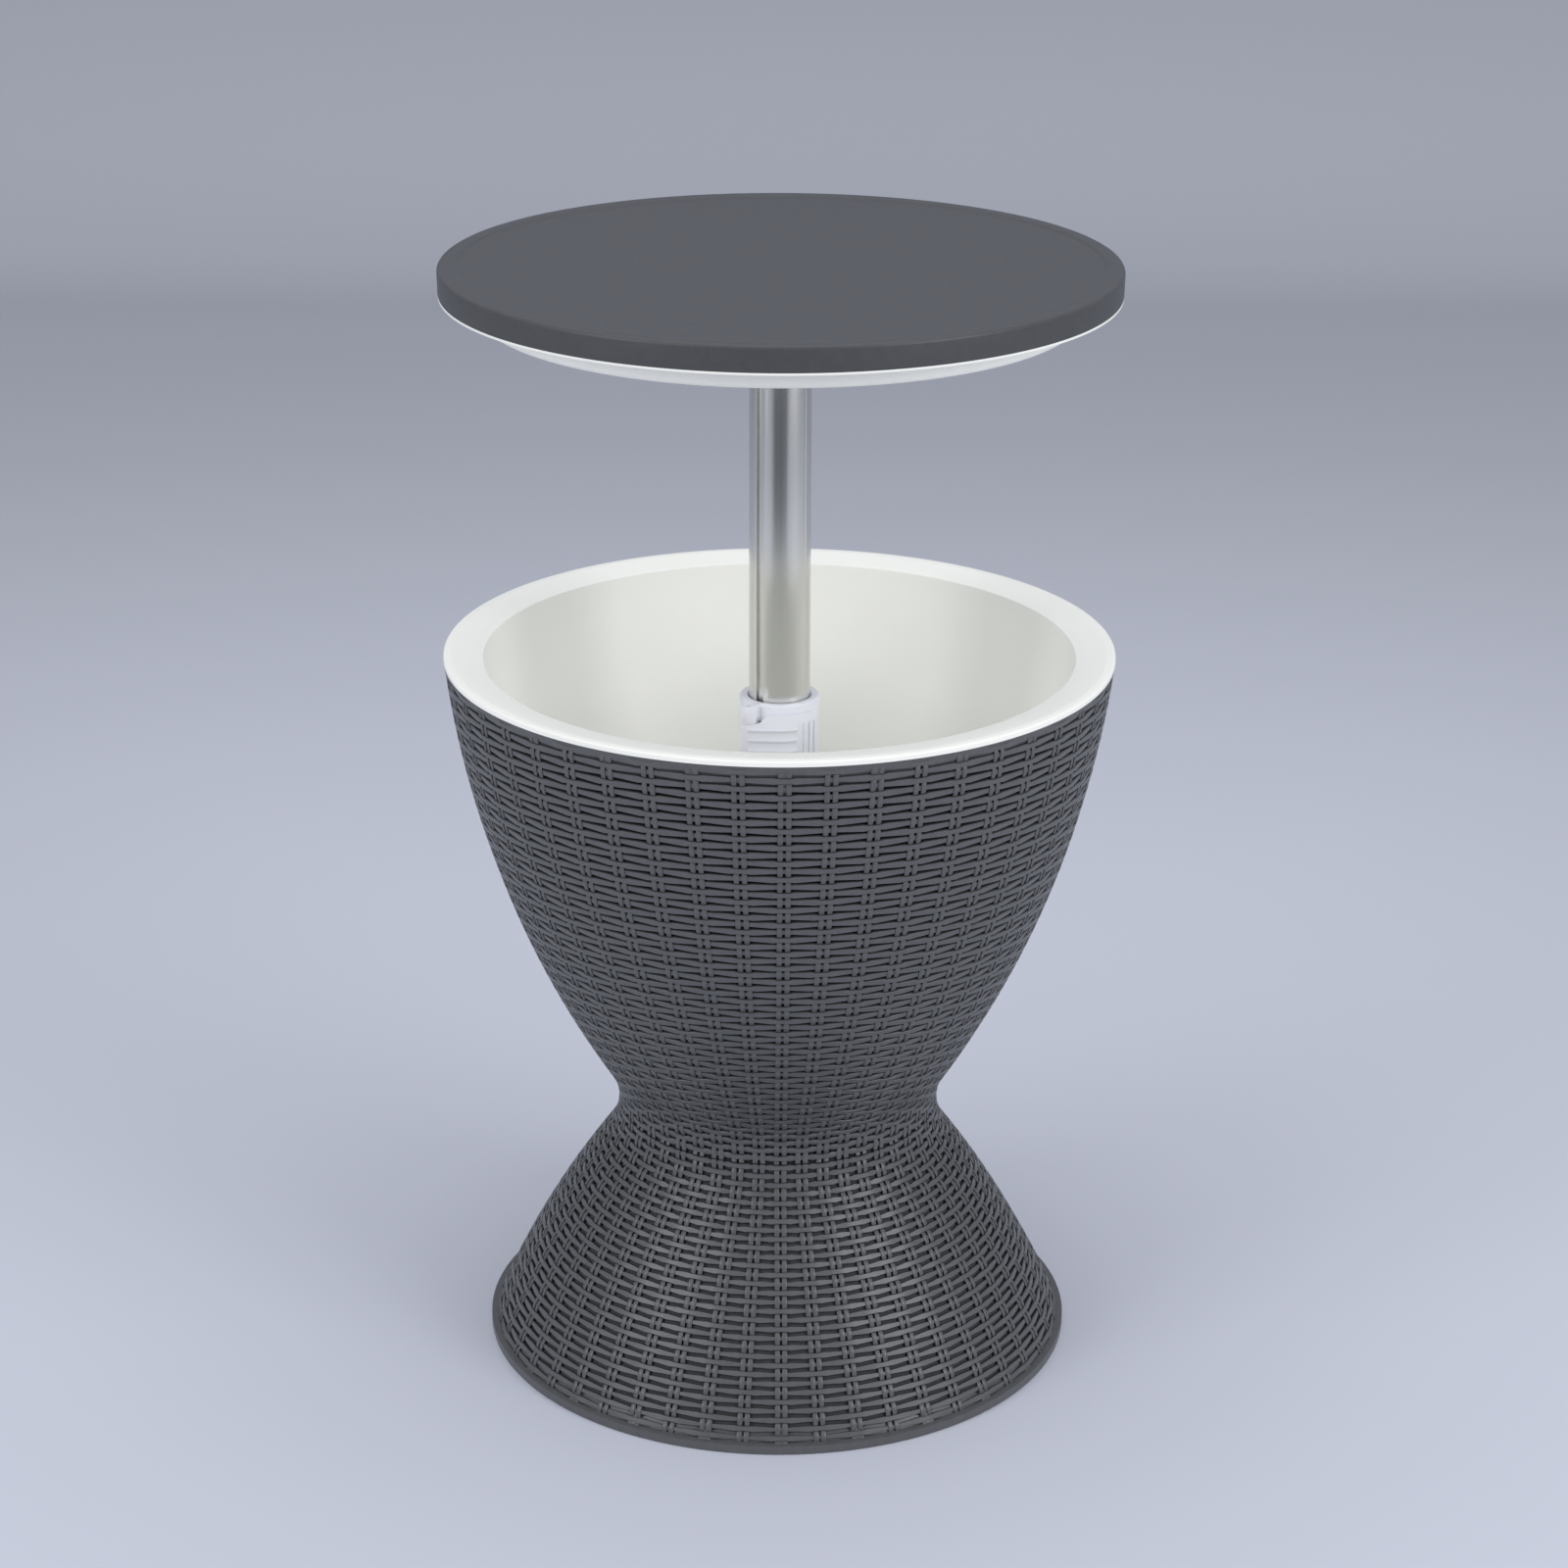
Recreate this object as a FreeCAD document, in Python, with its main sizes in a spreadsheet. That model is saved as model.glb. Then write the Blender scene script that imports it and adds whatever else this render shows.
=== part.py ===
"""Cooler table with a raising lid: a moulded wicker-look hourglass housing with a white
ice bowl, a sliding aluminium mast and a lever clamp. Millimetres, +Z up, origin at the
centre of the foot ring on the floor. The lid stands raised, as it does in use."""
import FreeCAD, Part
import math
import os

import Sketcher

SIZES = [
    # Housing
    ("rim_radius", 247.8),
    ("rim_height", 552.1),
    ("rim_edge", 4.1),
    ("seam_height", 186.5),
    ("neck_radius", 122.75),
    ("neck_height", 189.7),
    ("waist_fillet", 54.5),
    ("barrel_flare", 32.65),
    ("foot_flare", 36.59),
    ("foot_radius", 223.7),
    ("shell_wall", 4.5),
    ("top_band", 4.2),
    ("band_step", 0.7),
    ("foot_band", 7.0),
    ("foot_band_radius", 224.6),
    # The woven relief on the housing
    ("weave_depth", 2.4),
    ("weave_ring_pitch", 33.1),
    ("weave_ring_height", 4.4),
    ("weave_ring_draft", 0.5),
    ("barrel_ring_start", 17.8),
    ("base_ring_start", 15.9),
    ("stake_pairs", 24),
    ("stake_pair_width", 9.6),
    ("stake_pair_drop", 0.9),
    ("stake_pair_azimuth", 1.0),
    ("waist_facets", 4),
    # Inside the housing
    ("web_thickness", 4.0),
    ("web_opening", 16.0),
    ("web_opening_inset", 44.75),
    ("web_rib_height", 14.0),
    ("rib_thickness", 3.0),
    ("hub_wall", 8.0),
    ("hub_height", 27.0),
    ("base_flange_width", 32.75),
    ("base_gusset_inset", 3.0),
    ("housing_screws", 6),
    ("housing_screw_inset", 18.75),
    ("boss_radius", 5.5),
    ("boss_height", 12.0),
    # Ice bowl
    ("rim_width", 29.05),
    ("rim_drop", 3.9),
    ("bowl_floor", 283.0),
    ("bowl_corner", 40.0),
    ("bowl_foot_step", 28.25),
    ("bowl_slope", 27.4),
    ("bowl_wall", 3.0),
    ("socket_radius", 50.0),
    ("socket_rise", 6.0),
    ("locating_ring_drop", 10.0),
    ("locating_ring_inset", 6.2),
    # Drain
    ("drain_inset", 56.0),
    ("drain_bore", 8.5),
    ("drain_neck", 12.0),
    ("drain_flange", 17.0),
    ("drain_length", 21.0),
    ("drain_nut_height", 9.0),
    ("drain_nut_radius", 17.0),
    ("drain_nut_lug", 3.5),
    ("drain_head", 15.0),
    ("drain_grip_height", 10.0),
    ("drain_grip_width", 6.0),
    ("seal_thickness", 2.0),
    # Mast and its sleeve
    ("mast_radius", 22.75),
    ("mast_wall", 1.8),
    ("key_half_width", 3.2),
    ("key_depth", 2.3),
    ("sleeve_bore", 24.2),
    ("sleeve_radius", 27.0),
    ("sleeve_upper_radius", 28.5),
    ("sleeve_bottom", 125.0),
    ("sleeve_flange", 46.0),
    ("sleeve_flange_thickness", 4.5),
    ("sleeve_nut_radius", 38.0),
    ("sleeve_nut_height", 18.0),
    ("sleeve_nut_lug", 7.0),
    ("nut_lugs", 6),
    ("sleeve_flare", 14.0),
    ("spigot_radius", 26.0),
    ("spigot_length", 18.0),
    ("bush_length", 34.0),
    ("bush_flange", 2.0),
    ("glide_floor", 3.0),
    ("glide_plug", 15.0),
    ("glide_vent", 8.0),
    ("glide_skirt", 30.7),
    ("stop_gap", 0.3),
    # Clamp
    ("clamp_azimuth", 230.0),
    ("collar_radius", 29.75),
    ("collar_bottom", 452.0),
    ("collar_height", 63.0),
    ("collar_edge", 1.0),
    ("lug_height", 12.8),
    ("lug_gap", 30.2),
    ("lug_radius", 6.3),
    ("pin_offset", 35.3),
    ("pin_radius", 2.0),
    ("pin_recess", 1.5),
    ("knuckle_radius", 5.8),
    ("cam_throw", 0.6),
    ("cam_phase", 40.0),
    ("lever_radius", 34.0),
    ("lever_thickness", 3.5),
    ("lever_drop", 6.4),
    ("lever_height", 47.3),
    ("lever_tip", 95.0),
    ("lever_shoulder", 14.6),
    ("lever_notch", 9.2),
    ("lever_corner", 6.0),
    ("lever_ribs", 4),
    ("lever_rib_drop", 10.2),
    ("lever_rib_pitch", 8.1),
    ("lever_rib_width", 1.6),
    ("lever_rib_proud", 1.1),
    ("lever_rib_end", 63.0),
    ("finger_ribs", 3),
    ("finger_rib_start", 72.0),
    ("finger_rib_pitch", 8.0),
    ("finger_rib_arc", 2.0),
    ("pad_half_width", 8.0),
    ("pad_end_gap", 0.1),
    ("cam_gap", 0.1),
    # Lid
    ("table_height", 840.0),
    ("lid_inset", 2.8),
    ("lid_thickness", 18.4),
    ("lid_edge", 2.0),
    ("lid_lip_width", 11.0),
    ("lid_lip_slope", 4.5),
    ("lid_field_drop", 1.0),
    ("lid_plate", 3.0),
    ("lid_draft", 0.4),
    ("flange_thickness", 1.9),
    ("flange_inset", 0.5),
    ("plug_gap", 1.75),
    ("plug_depth", 16.4),
    ("plug_draft", 1.0),
    ("plug_corner", 4.0),
    ("lid_rib_height", 7.0),
    ("lid_boss_radius", 5.0),
    ("lid_screws", 8),
    ("lid_screw_inset", 27.0),
    ("mast_socket_radius", 29.0),
    ("mast_socket_flange", 45.0),
    ("mast_socket_flange_thickness", 4.0),
    ("mast_socket_drop", 17.3),
    ("mast_socket_roof", 3.0),
    ("mast_socket_roof_gap", 2.0),
    ("mast_socket_screws", 4),
    ("mast_socket_screw_circle", 38.0),
    # Fasteners and fits
    ("screw_radius", 1.5),
    ("screw_hole", 2.0),
    ("screw_head", 4.0),
    ("screw_head_height", 2.0),
    ("screw_length", 16.0),
    ("cross_screw_head", 2.5),
    ("cross_screw_head_height", 1.2),
    ("collar_screws", 3),
    ("collar_screw_rise", 4.0),
    ("mast_screws", 2),
    ("mast_screw_rise", 7.0),
    ("mast_screw_depth", 8.5),
    ("running_fit", 0.05),
    ("free_fit", 0.3),
]

doc = FreeCAD.newDocument("cooler_table")
sheet = doc.addObject("Spreadsheet::Sheet", "Sizes")
for row, (alias, number) in enumerate(SIZES, start=1):
    sheet.set(f"A{row}", str(number))
    sheet.setAlias(f"A{row}", alias)
doc.recompute()

FULL_TURN = 360.0
RADIAN = math.degrees(1)
Z_UP = FreeCAD.Vector(0, 0, 1)
PARTS = []
NAMED = []


class Size:
    """A length or an angle that carries its number and its formula in the sheet."""

    def __init__(self, formula, number):
        self.formula = formula
        self.number = number

    def __add__(self, other):
        return join(self, "+", other, lambda a, b: a + b)

    def __sub__(self, other):
        return join(self, "-", other, lambda a, b: a - b)

    def __mul__(self, other):
        return join(self, "*", other, lambda a, b: a * b)

    def __truediv__(self, other):
        return join(self, "/", other, lambda a, b: a / b)

    def __radd__(self, other):
        return as_size(other) + self

    def __rsub__(self, other):
        return as_size(other) - self

    def __rmul__(self, other):
        return as_size(other) * self

    def __rtruediv__(self, other):
        return as_size(other) / self

    def __neg__(self):
        return as_size(-1) * self


def as_size(value):
    if isinstance(value, Size):
        return value
    return Size(f"({float(value)!r})", float(value))


def join(left, sign, right, work):
    left = as_size(left)
    right = as_size(right)
    return Size(f"({left.formula} {sign} {right.formula})", work(left.number, right.number))


def root(size):
    return Size(f"sqrt({size.formula})", math.sqrt(size.number))


def sine(angle):
    return Size(f"sin({angle.formula})", math.sin(math.radians(angle.number)))


def cosine(angle):
    return Size(f"cos({angle.formula})", math.cos(math.radians(angle.number)))


def arcsine(share):
    return Size(f"(asin({share.formula}) / 1 deg)", math.degrees(math.asin(share.number)))


def leg(hypotenuse, other):
    """The third side of a right triangle."""
    return root(hypotenuse * hypotenuse - other * other)


class Sheet:
    """Reads the driving sizes by name."""

    def __getattr__(self, alias):
        return Size(f"Sizes.{alias}", float(sheet.get(alias)))


S = Sheet()


def named(alias, size):
    """Gives a worked-out value its own cell, so that the formulas that use it stay short."""
    cell = f"C{len(SIZES) + len(NAMED)}"
    NAMED.append(alias)
    sheet.set(cell, "=" + size.formula.replace("Sizes.", ""))
    sheet.setAlias(cell, alias)
    sheet.recompute()
    return Size(f"Sizes.{alias}", size.number)


# Drawing in sketches

class Bend:
    """An edge that is an arc: its radius, and left for an arc centred on the left."""

    def __init__(self, radius, left):
        self.radius = as_size(radius)
        self.left = left


def bind(owner, path, size):
    owner.setExpression(path, as_size(size).formula)


def sketch_on(body, name, role="XY_Plane", offset=None):
    sketch = body.newObject("Sketcher::SketchObject", name)
    plane = next(item for item in body.Origin.OriginFeatures if item.Role == role)
    sketch.AttachmentSupport = [(plane, "")]
    sketch.MapMode = "FlatFace"
    if offset is not None:
        bind(sketch, "AttachmentOffset.Base.z", offset)
    return sketch


def swing(sketch, angle):
    """Turns an upright sketch about the Z axis."""
    turned = FreeCAD.Rotation(FreeCAD.Vector(0, 1, 0), angle.number)
    sketch.AttachmentOffset = FreeCAD.Placement(FreeCAD.Vector(), turned)
    bind(sketch, "AttachmentOffset.Rotation.Angle", angle)


def fix(sketch, kind, geometry, point, size):
    """Holds one coordinate of a point, on the axis itself where it is zero."""
    if as_size(size).formula == "(0.0)":
        axis = -2 if kind == "DistanceX" else -1
        sketch.addConstraint(Sketcher.Constraint("PointOnObject", geometry, point, axis))
        return
    index = sketch.addConstraint(
        Sketcher.Constraint(kind, -1, 1, geometry, point, as_size(size).number))
    bind(sketch, f"Constraints[{index}]", size)


def hold(sketch, geometry, point, x, y):
    fix(sketch, "DistanceX", geometry, point, x)
    fix(sketch, "DistanceY", geometry, point, y)


def circle(sketch, radius, x=0, y=0):
    centre = FreeCAD.Vector(as_size(x).number, as_size(y).number, 0)
    geometry = sketch.addGeometry(Part.Circle(centre, Z_UP, as_size(radius).number))
    index = sketch.addConstraint(
        Sketcher.Constraint("Radius", geometry, as_size(radius).number))
    bind(sketch, f"Constraints[{index}]", radius)
    hold(sketch, geometry, 3, x, y)


def arc_edge(sketch, start, end, bend):
    """Adds an arc of under half a turn and returns its start and end point numbers."""
    chord = end - start
    sagitta_leg = math.sqrt(bend.radius.number ** 2 - (chord.Length / 2) ** 2)
    across = FreeCAD.Vector(-chord.y, chord.x, 0).normalize()
    side = 1 if bend.left else -1
    centre = (start + end) * 0.5 + across * (side * sagitta_leg)
    first, last = (start, end) if bend.left else (end, start)
    begin = math.atan2(first.y - centre.y, first.x - centre.x)
    finish = math.atan2(last.y - centre.y, last.x - centre.x)
    if finish < begin:
        finish += 2 * math.pi
    base = Part.Circle(centre, Z_UP, bend.radius.number)
    geometry = sketch.addGeometry(Part.ArcOfCircle(base, begin, finish))
    index = sketch.addConstraint(Sketcher.Constraint("Radius", geometry, bend.radius.number))
    bind(sketch, f"Constraints[{index}]", bend.radius)
    return geometry, (1, 2) if bend.left else (2, 1)


def outline(sketch, corners):
    """A closed outline. A corner is (x, y), or (x, y, Bend) when an arc leads to it."""
    places = [FreeCAD.Vector(as_size(c[0]).number, as_size(c[1]).number, 0) for c in corners]
    edges = []
    for number, place in enumerate(places):
        before = places[number - 1]
        if len(corners[number]) == 3:
            edges.append(arc_edge(sketch, before, place, corners[number][2]))
        else:
            line = sketch.addGeometry(Part.LineSegment(before, place))
            edges.append((line, (1, 2)))
    for number, (geometry, ends) in enumerate(edges):
        following, next_ends = edges[(number + 1) % len(edges)]
        sketch.addConstraint(Sketcher.Constraint(
            "Coincident", geometry, ends[1], following, next_ends[0]))
        hold(sketch, geometry, ends[1], corners[number][0], corners[number][1])


def box_outline(sketch, left, bottom, right, top):
    outline(sketch, [(left, bottom), (right, bottom), (right, top), (left, top)])


# Features of a body

def new_body(label):
    body = doc.addObject("PartDesign::Body", label)
    body.Label = label
    PARTS.append(body)
    return body


def axis_of(body, role="Z_Axis"):
    return next(item for item in body.Origin.OriginFeatures if item.Role == role)


def finish(body, feature):
    body.Tip = feature
    doc.recompute()
    return feature


def turn(body, name, corners):
    """A revolved solid about the body's Z axis from a closed half profile."""
    sketch = sketch_on(body, f"{name}_profile", "XZ_Plane")
    outline(sketch, corners)
    feature = body.newObject("PartDesign::Revolution", name)
    feature.Profile = sketch
    feature.ReferenceAxis = (sketch, ["V_Axis"])
    feature.Angle = FULL_TURN
    return finish(body, feature)


def pad(body, name, sketch, length, both_ways=False, reverse=False):
    feature = body.newObject("PartDesign::Pad", name)
    feature.Profile = sketch
    feature.Midplane = both_ways
    feature.Reversed = reverse
    bind(feature, "Length", length)
    return finish(body, feature)


def pocket(body, name, sketch, length, both_ways=False, reverse=False):
    before = body.Tip.Shape.Volume
    feature = body.newObject("PartDesign::Pocket", name)
    feature.Profile = sketch
    feature.Midplane = both_ways
    feature.Reversed = reverse
    bind(feature, "Length", length)
    finish(body, feature)
    if not feature.Shape.Volume < before:
        raise RuntimeError(f"{name} cuts nothing from {body.Label}")
    return feature


def repeat(body, name, features, count, angle=FULL_TURN):
    feature = body.newObject("PartDesign::PolarPattern", name)
    feature.Originals = features
    feature.Axis = (axis_of(body), [""])
    bind(feature, "Angle", angle)
    bind(feature, "Occurrences", count)
    return finish(body, feature)


def aim_at_clamp(body, extra=0):
    """Turns a body about the mast so that its +X side faces the clamp's hinge pin."""
    bind(body, "Placement.Rotation.Angle", S.clamp_azimuth + extra)


# Radii that several pieces share
mouth_radius = S.rim_radius - S.rim_width
bowl_foot_radius = S.neck_radius + S.bowl_foot_step
drain_offset = bowl_foot_radius - S.drain_inset
lid_radius = S.rim_radius - S.lid_inset
plug_radius = mouth_radius - S.plug_gap
lid_screw_circle = plug_radius - S.lid_screw_inset
base_flange_bore = S.neck_radius - S.base_flange_width
housing_screw_circle = S.neck_radius - S.housing_screw_inset
web_opening_circle = S.neck_radius - S.web_opening_inset
column_bore = S.sleeve_radius + S.free_fit
flange_bore = S.mast_socket_radius + S.free_fit
mast_bore = S.mast_radius + S.running_fit
wall_core = (S.weave_depth + S.shell_wall) / 2

# Heights that several pieces share
barrel_top = S.rim_height - S.rim_edge
mouth_height = S.rim_height - S.rim_drop
web_top = S.seam_height + S.web_thickness
socket_top = S.bowl_floor + S.socket_rise
sleeve_seat = socket_top + S.seal_thickness
sleeve_top = S.collar_bottom + S.spigot_length
bush_bottom = sleeve_top - S.bush_length
lid_bottom = S.table_height - S.lid_thickness
flange_bottom = lid_bottom - S.flange_thickness
plug_bottom = flange_bottom - S.plug_depth
plug_floor = plug_bottom + S.lid_plate
lid_field = S.table_height - S.lid_field_drop
lid_ceiling = lid_field - S.lid_plate
mast_socket_bottom = plug_bottom - S.mast_socket_drop
mast_socket_top = lid_ceiling - S.mast_socket_roof_gap
mast_top = mast_socket_top - S.mast_socket_roof
mast_screw_height = mast_socket_bottom + S.mast_screw_rise
collar_screw_height = S.collar_bottom + S.collar_screw_rise
collar_top = S.collar_bottom + S.collar_height
lug_floor = collar_top - S.lug_height - S.lug_gap
lever_top = collar_top - S.lever_drop
lever_bottom = lever_top - S.lever_height
lever_rib_top = lever_top - S.lever_rib_drop
glide_top = bush_bottom - S.stop_gap
mast_bottom = glide_top - S.glide_skirt
drain_seat_bottom = S.bowl_floor + S.seal_thickness
drain_seat_top = drain_seat_bottom + S.bowl_wall
drain_foot = drain_seat_bottom - S.drain_length


# The hourglass wall: a waist bend, tangent to a long arc above it and one below

class Flank:
    """A long arc of a wall, from its tangent with a small arc to a far point."""

    def __init__(self, name, start, slope, far, upward):
        out = far[0] - start[0]
        along = (far[1] - start[1]) if upward else (start[1] - far[1])
        inside = along * sine(slope) - out * cosine(slope)
        self.slope = slope
        self.way = 1 if upward else -1
        self.radius = named(f"{name}_arc", (out * out + along * along) / (2 * inside))
        self.centre_x = named(f"{name}_arc_x", start[0] - self.radius * cosine(slope))
        self.centre_y = named(f"{name}_arc_y", start[1] + self.way * self.radius * sine(slope))

    def x_at(self, height, depth=0):
        return self.centre_x + leg(self.radius - depth, height - self.centre_y)

    def at(self, run, depth):
        """A place so far from the tangent along the arc, and so deep in the wall."""
        angle = self.slope - run / self.radius * RADIAN
        reach = self.radius - depth
        return (self.centre_x + reach * cosine(angle),
                self.centre_y - self.way * reach * sine(angle))


def waist_x(height, depth=0):
    return S.neck_radius + S.waist_fillet - leg(S.waist_fillet + depth, height - S.neck_height)


def waist_end(slope, upward, depth=0):
    reach = S.waist_fillet + depth
    x = S.neck_radius + S.waist_fillet - reach * cosine(slope)
    rise = reach * sine(slope)
    return x, S.neck_height + rise if upward else S.neck_height - rise


class WovenWall:
    """One shell's wall, from the seam out: a ground with raised rings and upright stakes."""

    def __init__(self, name, slope, far, upward, ring_start, end):
        self.upward = upward
        self.way = 1 if upward else -1
        self.bend = named(f"{name}_bend", S.waist_fillet * slope / RADIAN)
        self.flank = Flank(name, waist_end(slope, upward), slope, far, upward)
        to_neck = arcsine((S.neck_height - S.seam_height) / S.waist_fillet)
        seam = -self.way * S.waist_fillet * to_neck / RADIAN
        self.rings = []
        ring = named(f"{name}_first_ring", seam + ring_start)
        while self.inside(ring + S.weave_ring_height, end):
            self.rings.append(ring)
            ring = self.rings[0] + S.weave_ring_pitch * len(self.rings)
        self.knots = sorted(self.rings + self.waist_knots(seam), key=lambda run: run.number)

    def inside(self, run, end):
        return self.way * (end - self.at(run, 0)[1]).number > 0

    def waist_knots(self, seam):
        """Where the waist's bend is cut into straight runs, away from the seam and the rings."""
        steps = int(S.waist_facets.number)
        knots = [self.bend * step / S.waist_facets for step in range(-steps, steps + 1)]
        clear = S.weave_ring_height.number
        return [knot for knot in knots if knot.number > seam.number + clear
                and all(abs(knot.number - ring.number) > clear for ring in self.rings)]

    def at(self, along, depth):
        """A place so far from the neck along the wall's outside, and so deep in it."""
        if along.number < self.bend.number:
            return waist_end(along / S.waist_fillet * RADIAN, self.upward, depth)
        return self.flank.at(along - self.bend, depth)

    def run(self, depth, low, high):
        """Corners at one depth, from the seam out, between two heights."""
        places = [self.at(knot, as_size(depth)) for knot in self.knots]
        clear = S.weave_ring_draft.number
        return [place for place in places
                if low.number + clear < place[1].number < high.number - clear]

    def face(self):
        """Corners of the woven side, from the seam out: the ground and the rings on it."""
        crest = S.weave_ring_height / 2
        foot = crest + S.weave_ring_draft
        ground = S.weave_depth
        corners = []
        for knot in self.knots:
            if knot in self.rings:
                corners += [self.at(knot - foot, ground), self.at(knot - crest, as_size(0)),
                            self.at(knot + crest, as_size(0)), self.at(knot + foot, ground)]
            else:
                corners.append(self.at(knot, ground))
        return corners


band_bottom = barrel_top - S.top_band
barrel = WovenWall("barrel", S.barrel_flare, (S.rim_radius, barrel_top), True,
                   S.barrel_ring_start, band_bottom)
foot = WovenWall("foot", S.foot_flare, (S.foot_radius, as_size(0)), False,
                 S.base_ring_start, S.foot_band)
bowl_start = (bowl_foot_radius, S.bowl_floor + S.bowl_corner * (1 - sine(S.bowl_slope)))
bowl_flank = Flank("bowl", bowl_start, S.bowl_slope, (mouth_radius, mouth_height), True)


def add_stakes(body, woven, seam_side, end):
    """Upright ribs on the woven wall, each as wide as a pair of stakes."""
    skin = S.stake_pair_drop
    low, high = (seam_side, end) if woven.upward else (end, seam_side)
    outside = woven.run(skin, low, high)
    inside = woven.run(wall_core, low, high)
    profile = sketch_on(body, "stake_profile", "XZ_Plane")
    swing(profile, S.stake_pair_azimuth)
    outline(profile, [
        (waist_x(seam_side, skin), seam_side),
        *outside,
        (woven.flank.x_at(end, skin), end),
        (woven.flank.x_at(end, wall_core), end),
        *reversed(inside),
        (waist_x(seam_side, wall_core), seam_side),
    ])
    stake = pad(body, "stake_pair", profile, S.stake_pair_width, both_ways=True)
    repeat(body, "stake_pairs", [stake], S.stake_pairs)


def barrel_shell():
    body = new_body("barrel_shell")
    wall = S.shell_wall
    ground = S.weave_depth
    band_x = barrel.flank.x_at(band_bottom)
    hub_radius = column_bore + S.hub_wall
    hub_top = S.seam_height + S.hub_height
    turn(body, "barrel_wall", [
        (column_bore, S.seam_height),
        (waist_x(S.seam_height, ground), S.seam_height),
        *barrel.face(),
        (barrel.flank.x_at(band_bottom, ground), band_bottom),
        (band_x - S.band_step, band_bottom),
        (S.rim_radius - S.band_step, barrel_top),
        (barrel.flank.x_at(barrel_top, wall), barrel_top),
        *reversed(barrel.run(wall, web_top, barrel_top)),
        (waist_x(web_top, wall), web_top),
        (hub_radius, web_top),
        (hub_radius, hub_top),
        (column_bore, hub_top),
    ])
    rib = sketch_on(body, "web_rib_profile", "XZ_Plane")
    overlap = S.web_thickness / 2
    box_outline(rib, hub_radius - overlap, web_top - overlap,
                S.neck_radius - wall_core, web_top + S.web_rib_height)
    web_rib = pad(body, "web_rib", rib, S.rib_thickness, both_ways=True)
    boss_plan = sketch_on(body, "screw_boss_plan", offset=web_top - overlap)
    circle(boss_plan, S.boss_radius, housing_screw_circle)
    boss = pad(body, "screw_boss", boss_plan, S.boss_height + overlap)
    repeat(body, "web_ribs", [web_rib, boss], S.housing_screws)
    hole_plan = sketch_on(body, "pilot_hole_plan", offset=S.seam_height)
    circle(hole_plan, S.screw_radius + S.running_fit, housing_screw_circle)
    hole = pocket(body, "pilot_hole", hole_plan, S.boss_height + overlap, reverse=True)
    repeat(body, "pilot_holes", [hole], S.housing_screws)
    opening_plan = sketch_on(body, "web_opening_plan", offset=S.seam_height)
    half_turn = 180 / S.housing_screws
    circle(opening_plan, S.web_opening, web_opening_circle * cosine(half_turn),
           web_opening_circle * sine(half_turn))
    opening = pocket(body, "web_opening", opening_plan, 2 * S.web_thickness, reverse=True)
    repeat(body, "web_openings", [opening], S.housing_screws)
    add_stakes(body, barrel, S.seam_height, (band_bottom + barrel_top) / 2)


def base_shell():
    body = new_body("base_shell")
    wall = S.shell_wall
    ground = S.weave_depth
    flange_bottom_face = S.seam_height - S.web_thickness
    chamfer = S.band_step
    turn(body, "base_wall", [
        (foot.flank.x_at(as_size(0), wall), 0),
        (S.foot_band_radius - chamfer, 0),
        (S.foot_band_radius, chamfer),
        (S.foot_band_radius, S.foot_band),
        (foot.flank.x_at(S.foot_band, ground), S.foot_band),
        *reversed(foot.face()),
        (waist_x(S.seam_height, ground), S.seam_height),
        (base_flange_bore, S.seam_height),
        (base_flange_bore, flange_bottom_face),
        (waist_x(flange_bottom_face, wall), flange_bottom_face),
        *foot.run(wall, as_size(0), flange_bottom_face),
    ])
    gusset_top = flange_bottom_face + S.web_thickness / 2
    gusset = sketch_on(body, "gusset_profile", "XZ_Plane")
    swing(gusset, 180 / S.housing_screws)
    outline(gusset, [
        (*waist_end(S.foot_flare, False, wall_core),
         Bend(S.waist_fillet + wall_core, left=True)),
        (base_flange_bore + S.base_gusset_inset, gusset_top),
        (waist_x(gusset_top, wall_core), gusset_top),
    ])
    rib = pad(body, "gusset", gusset, S.rib_thickness, both_ways=True)
    repeat(body, "gussets", [rib], S.housing_screws)
    hole_plan = sketch_on(body, "screw_hole_plan", offset=S.seam_height)
    circle(hole_plan, S.screw_hole, housing_screw_circle)
    hole = pocket(body, "screw_hole", hole_plan, 2 * S.web_thickness)
    repeat(body, "screw_holes", [hole], S.housing_screws)
    add_stakes(body, foot, S.seam_height, S.foot_band / 2)


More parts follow.
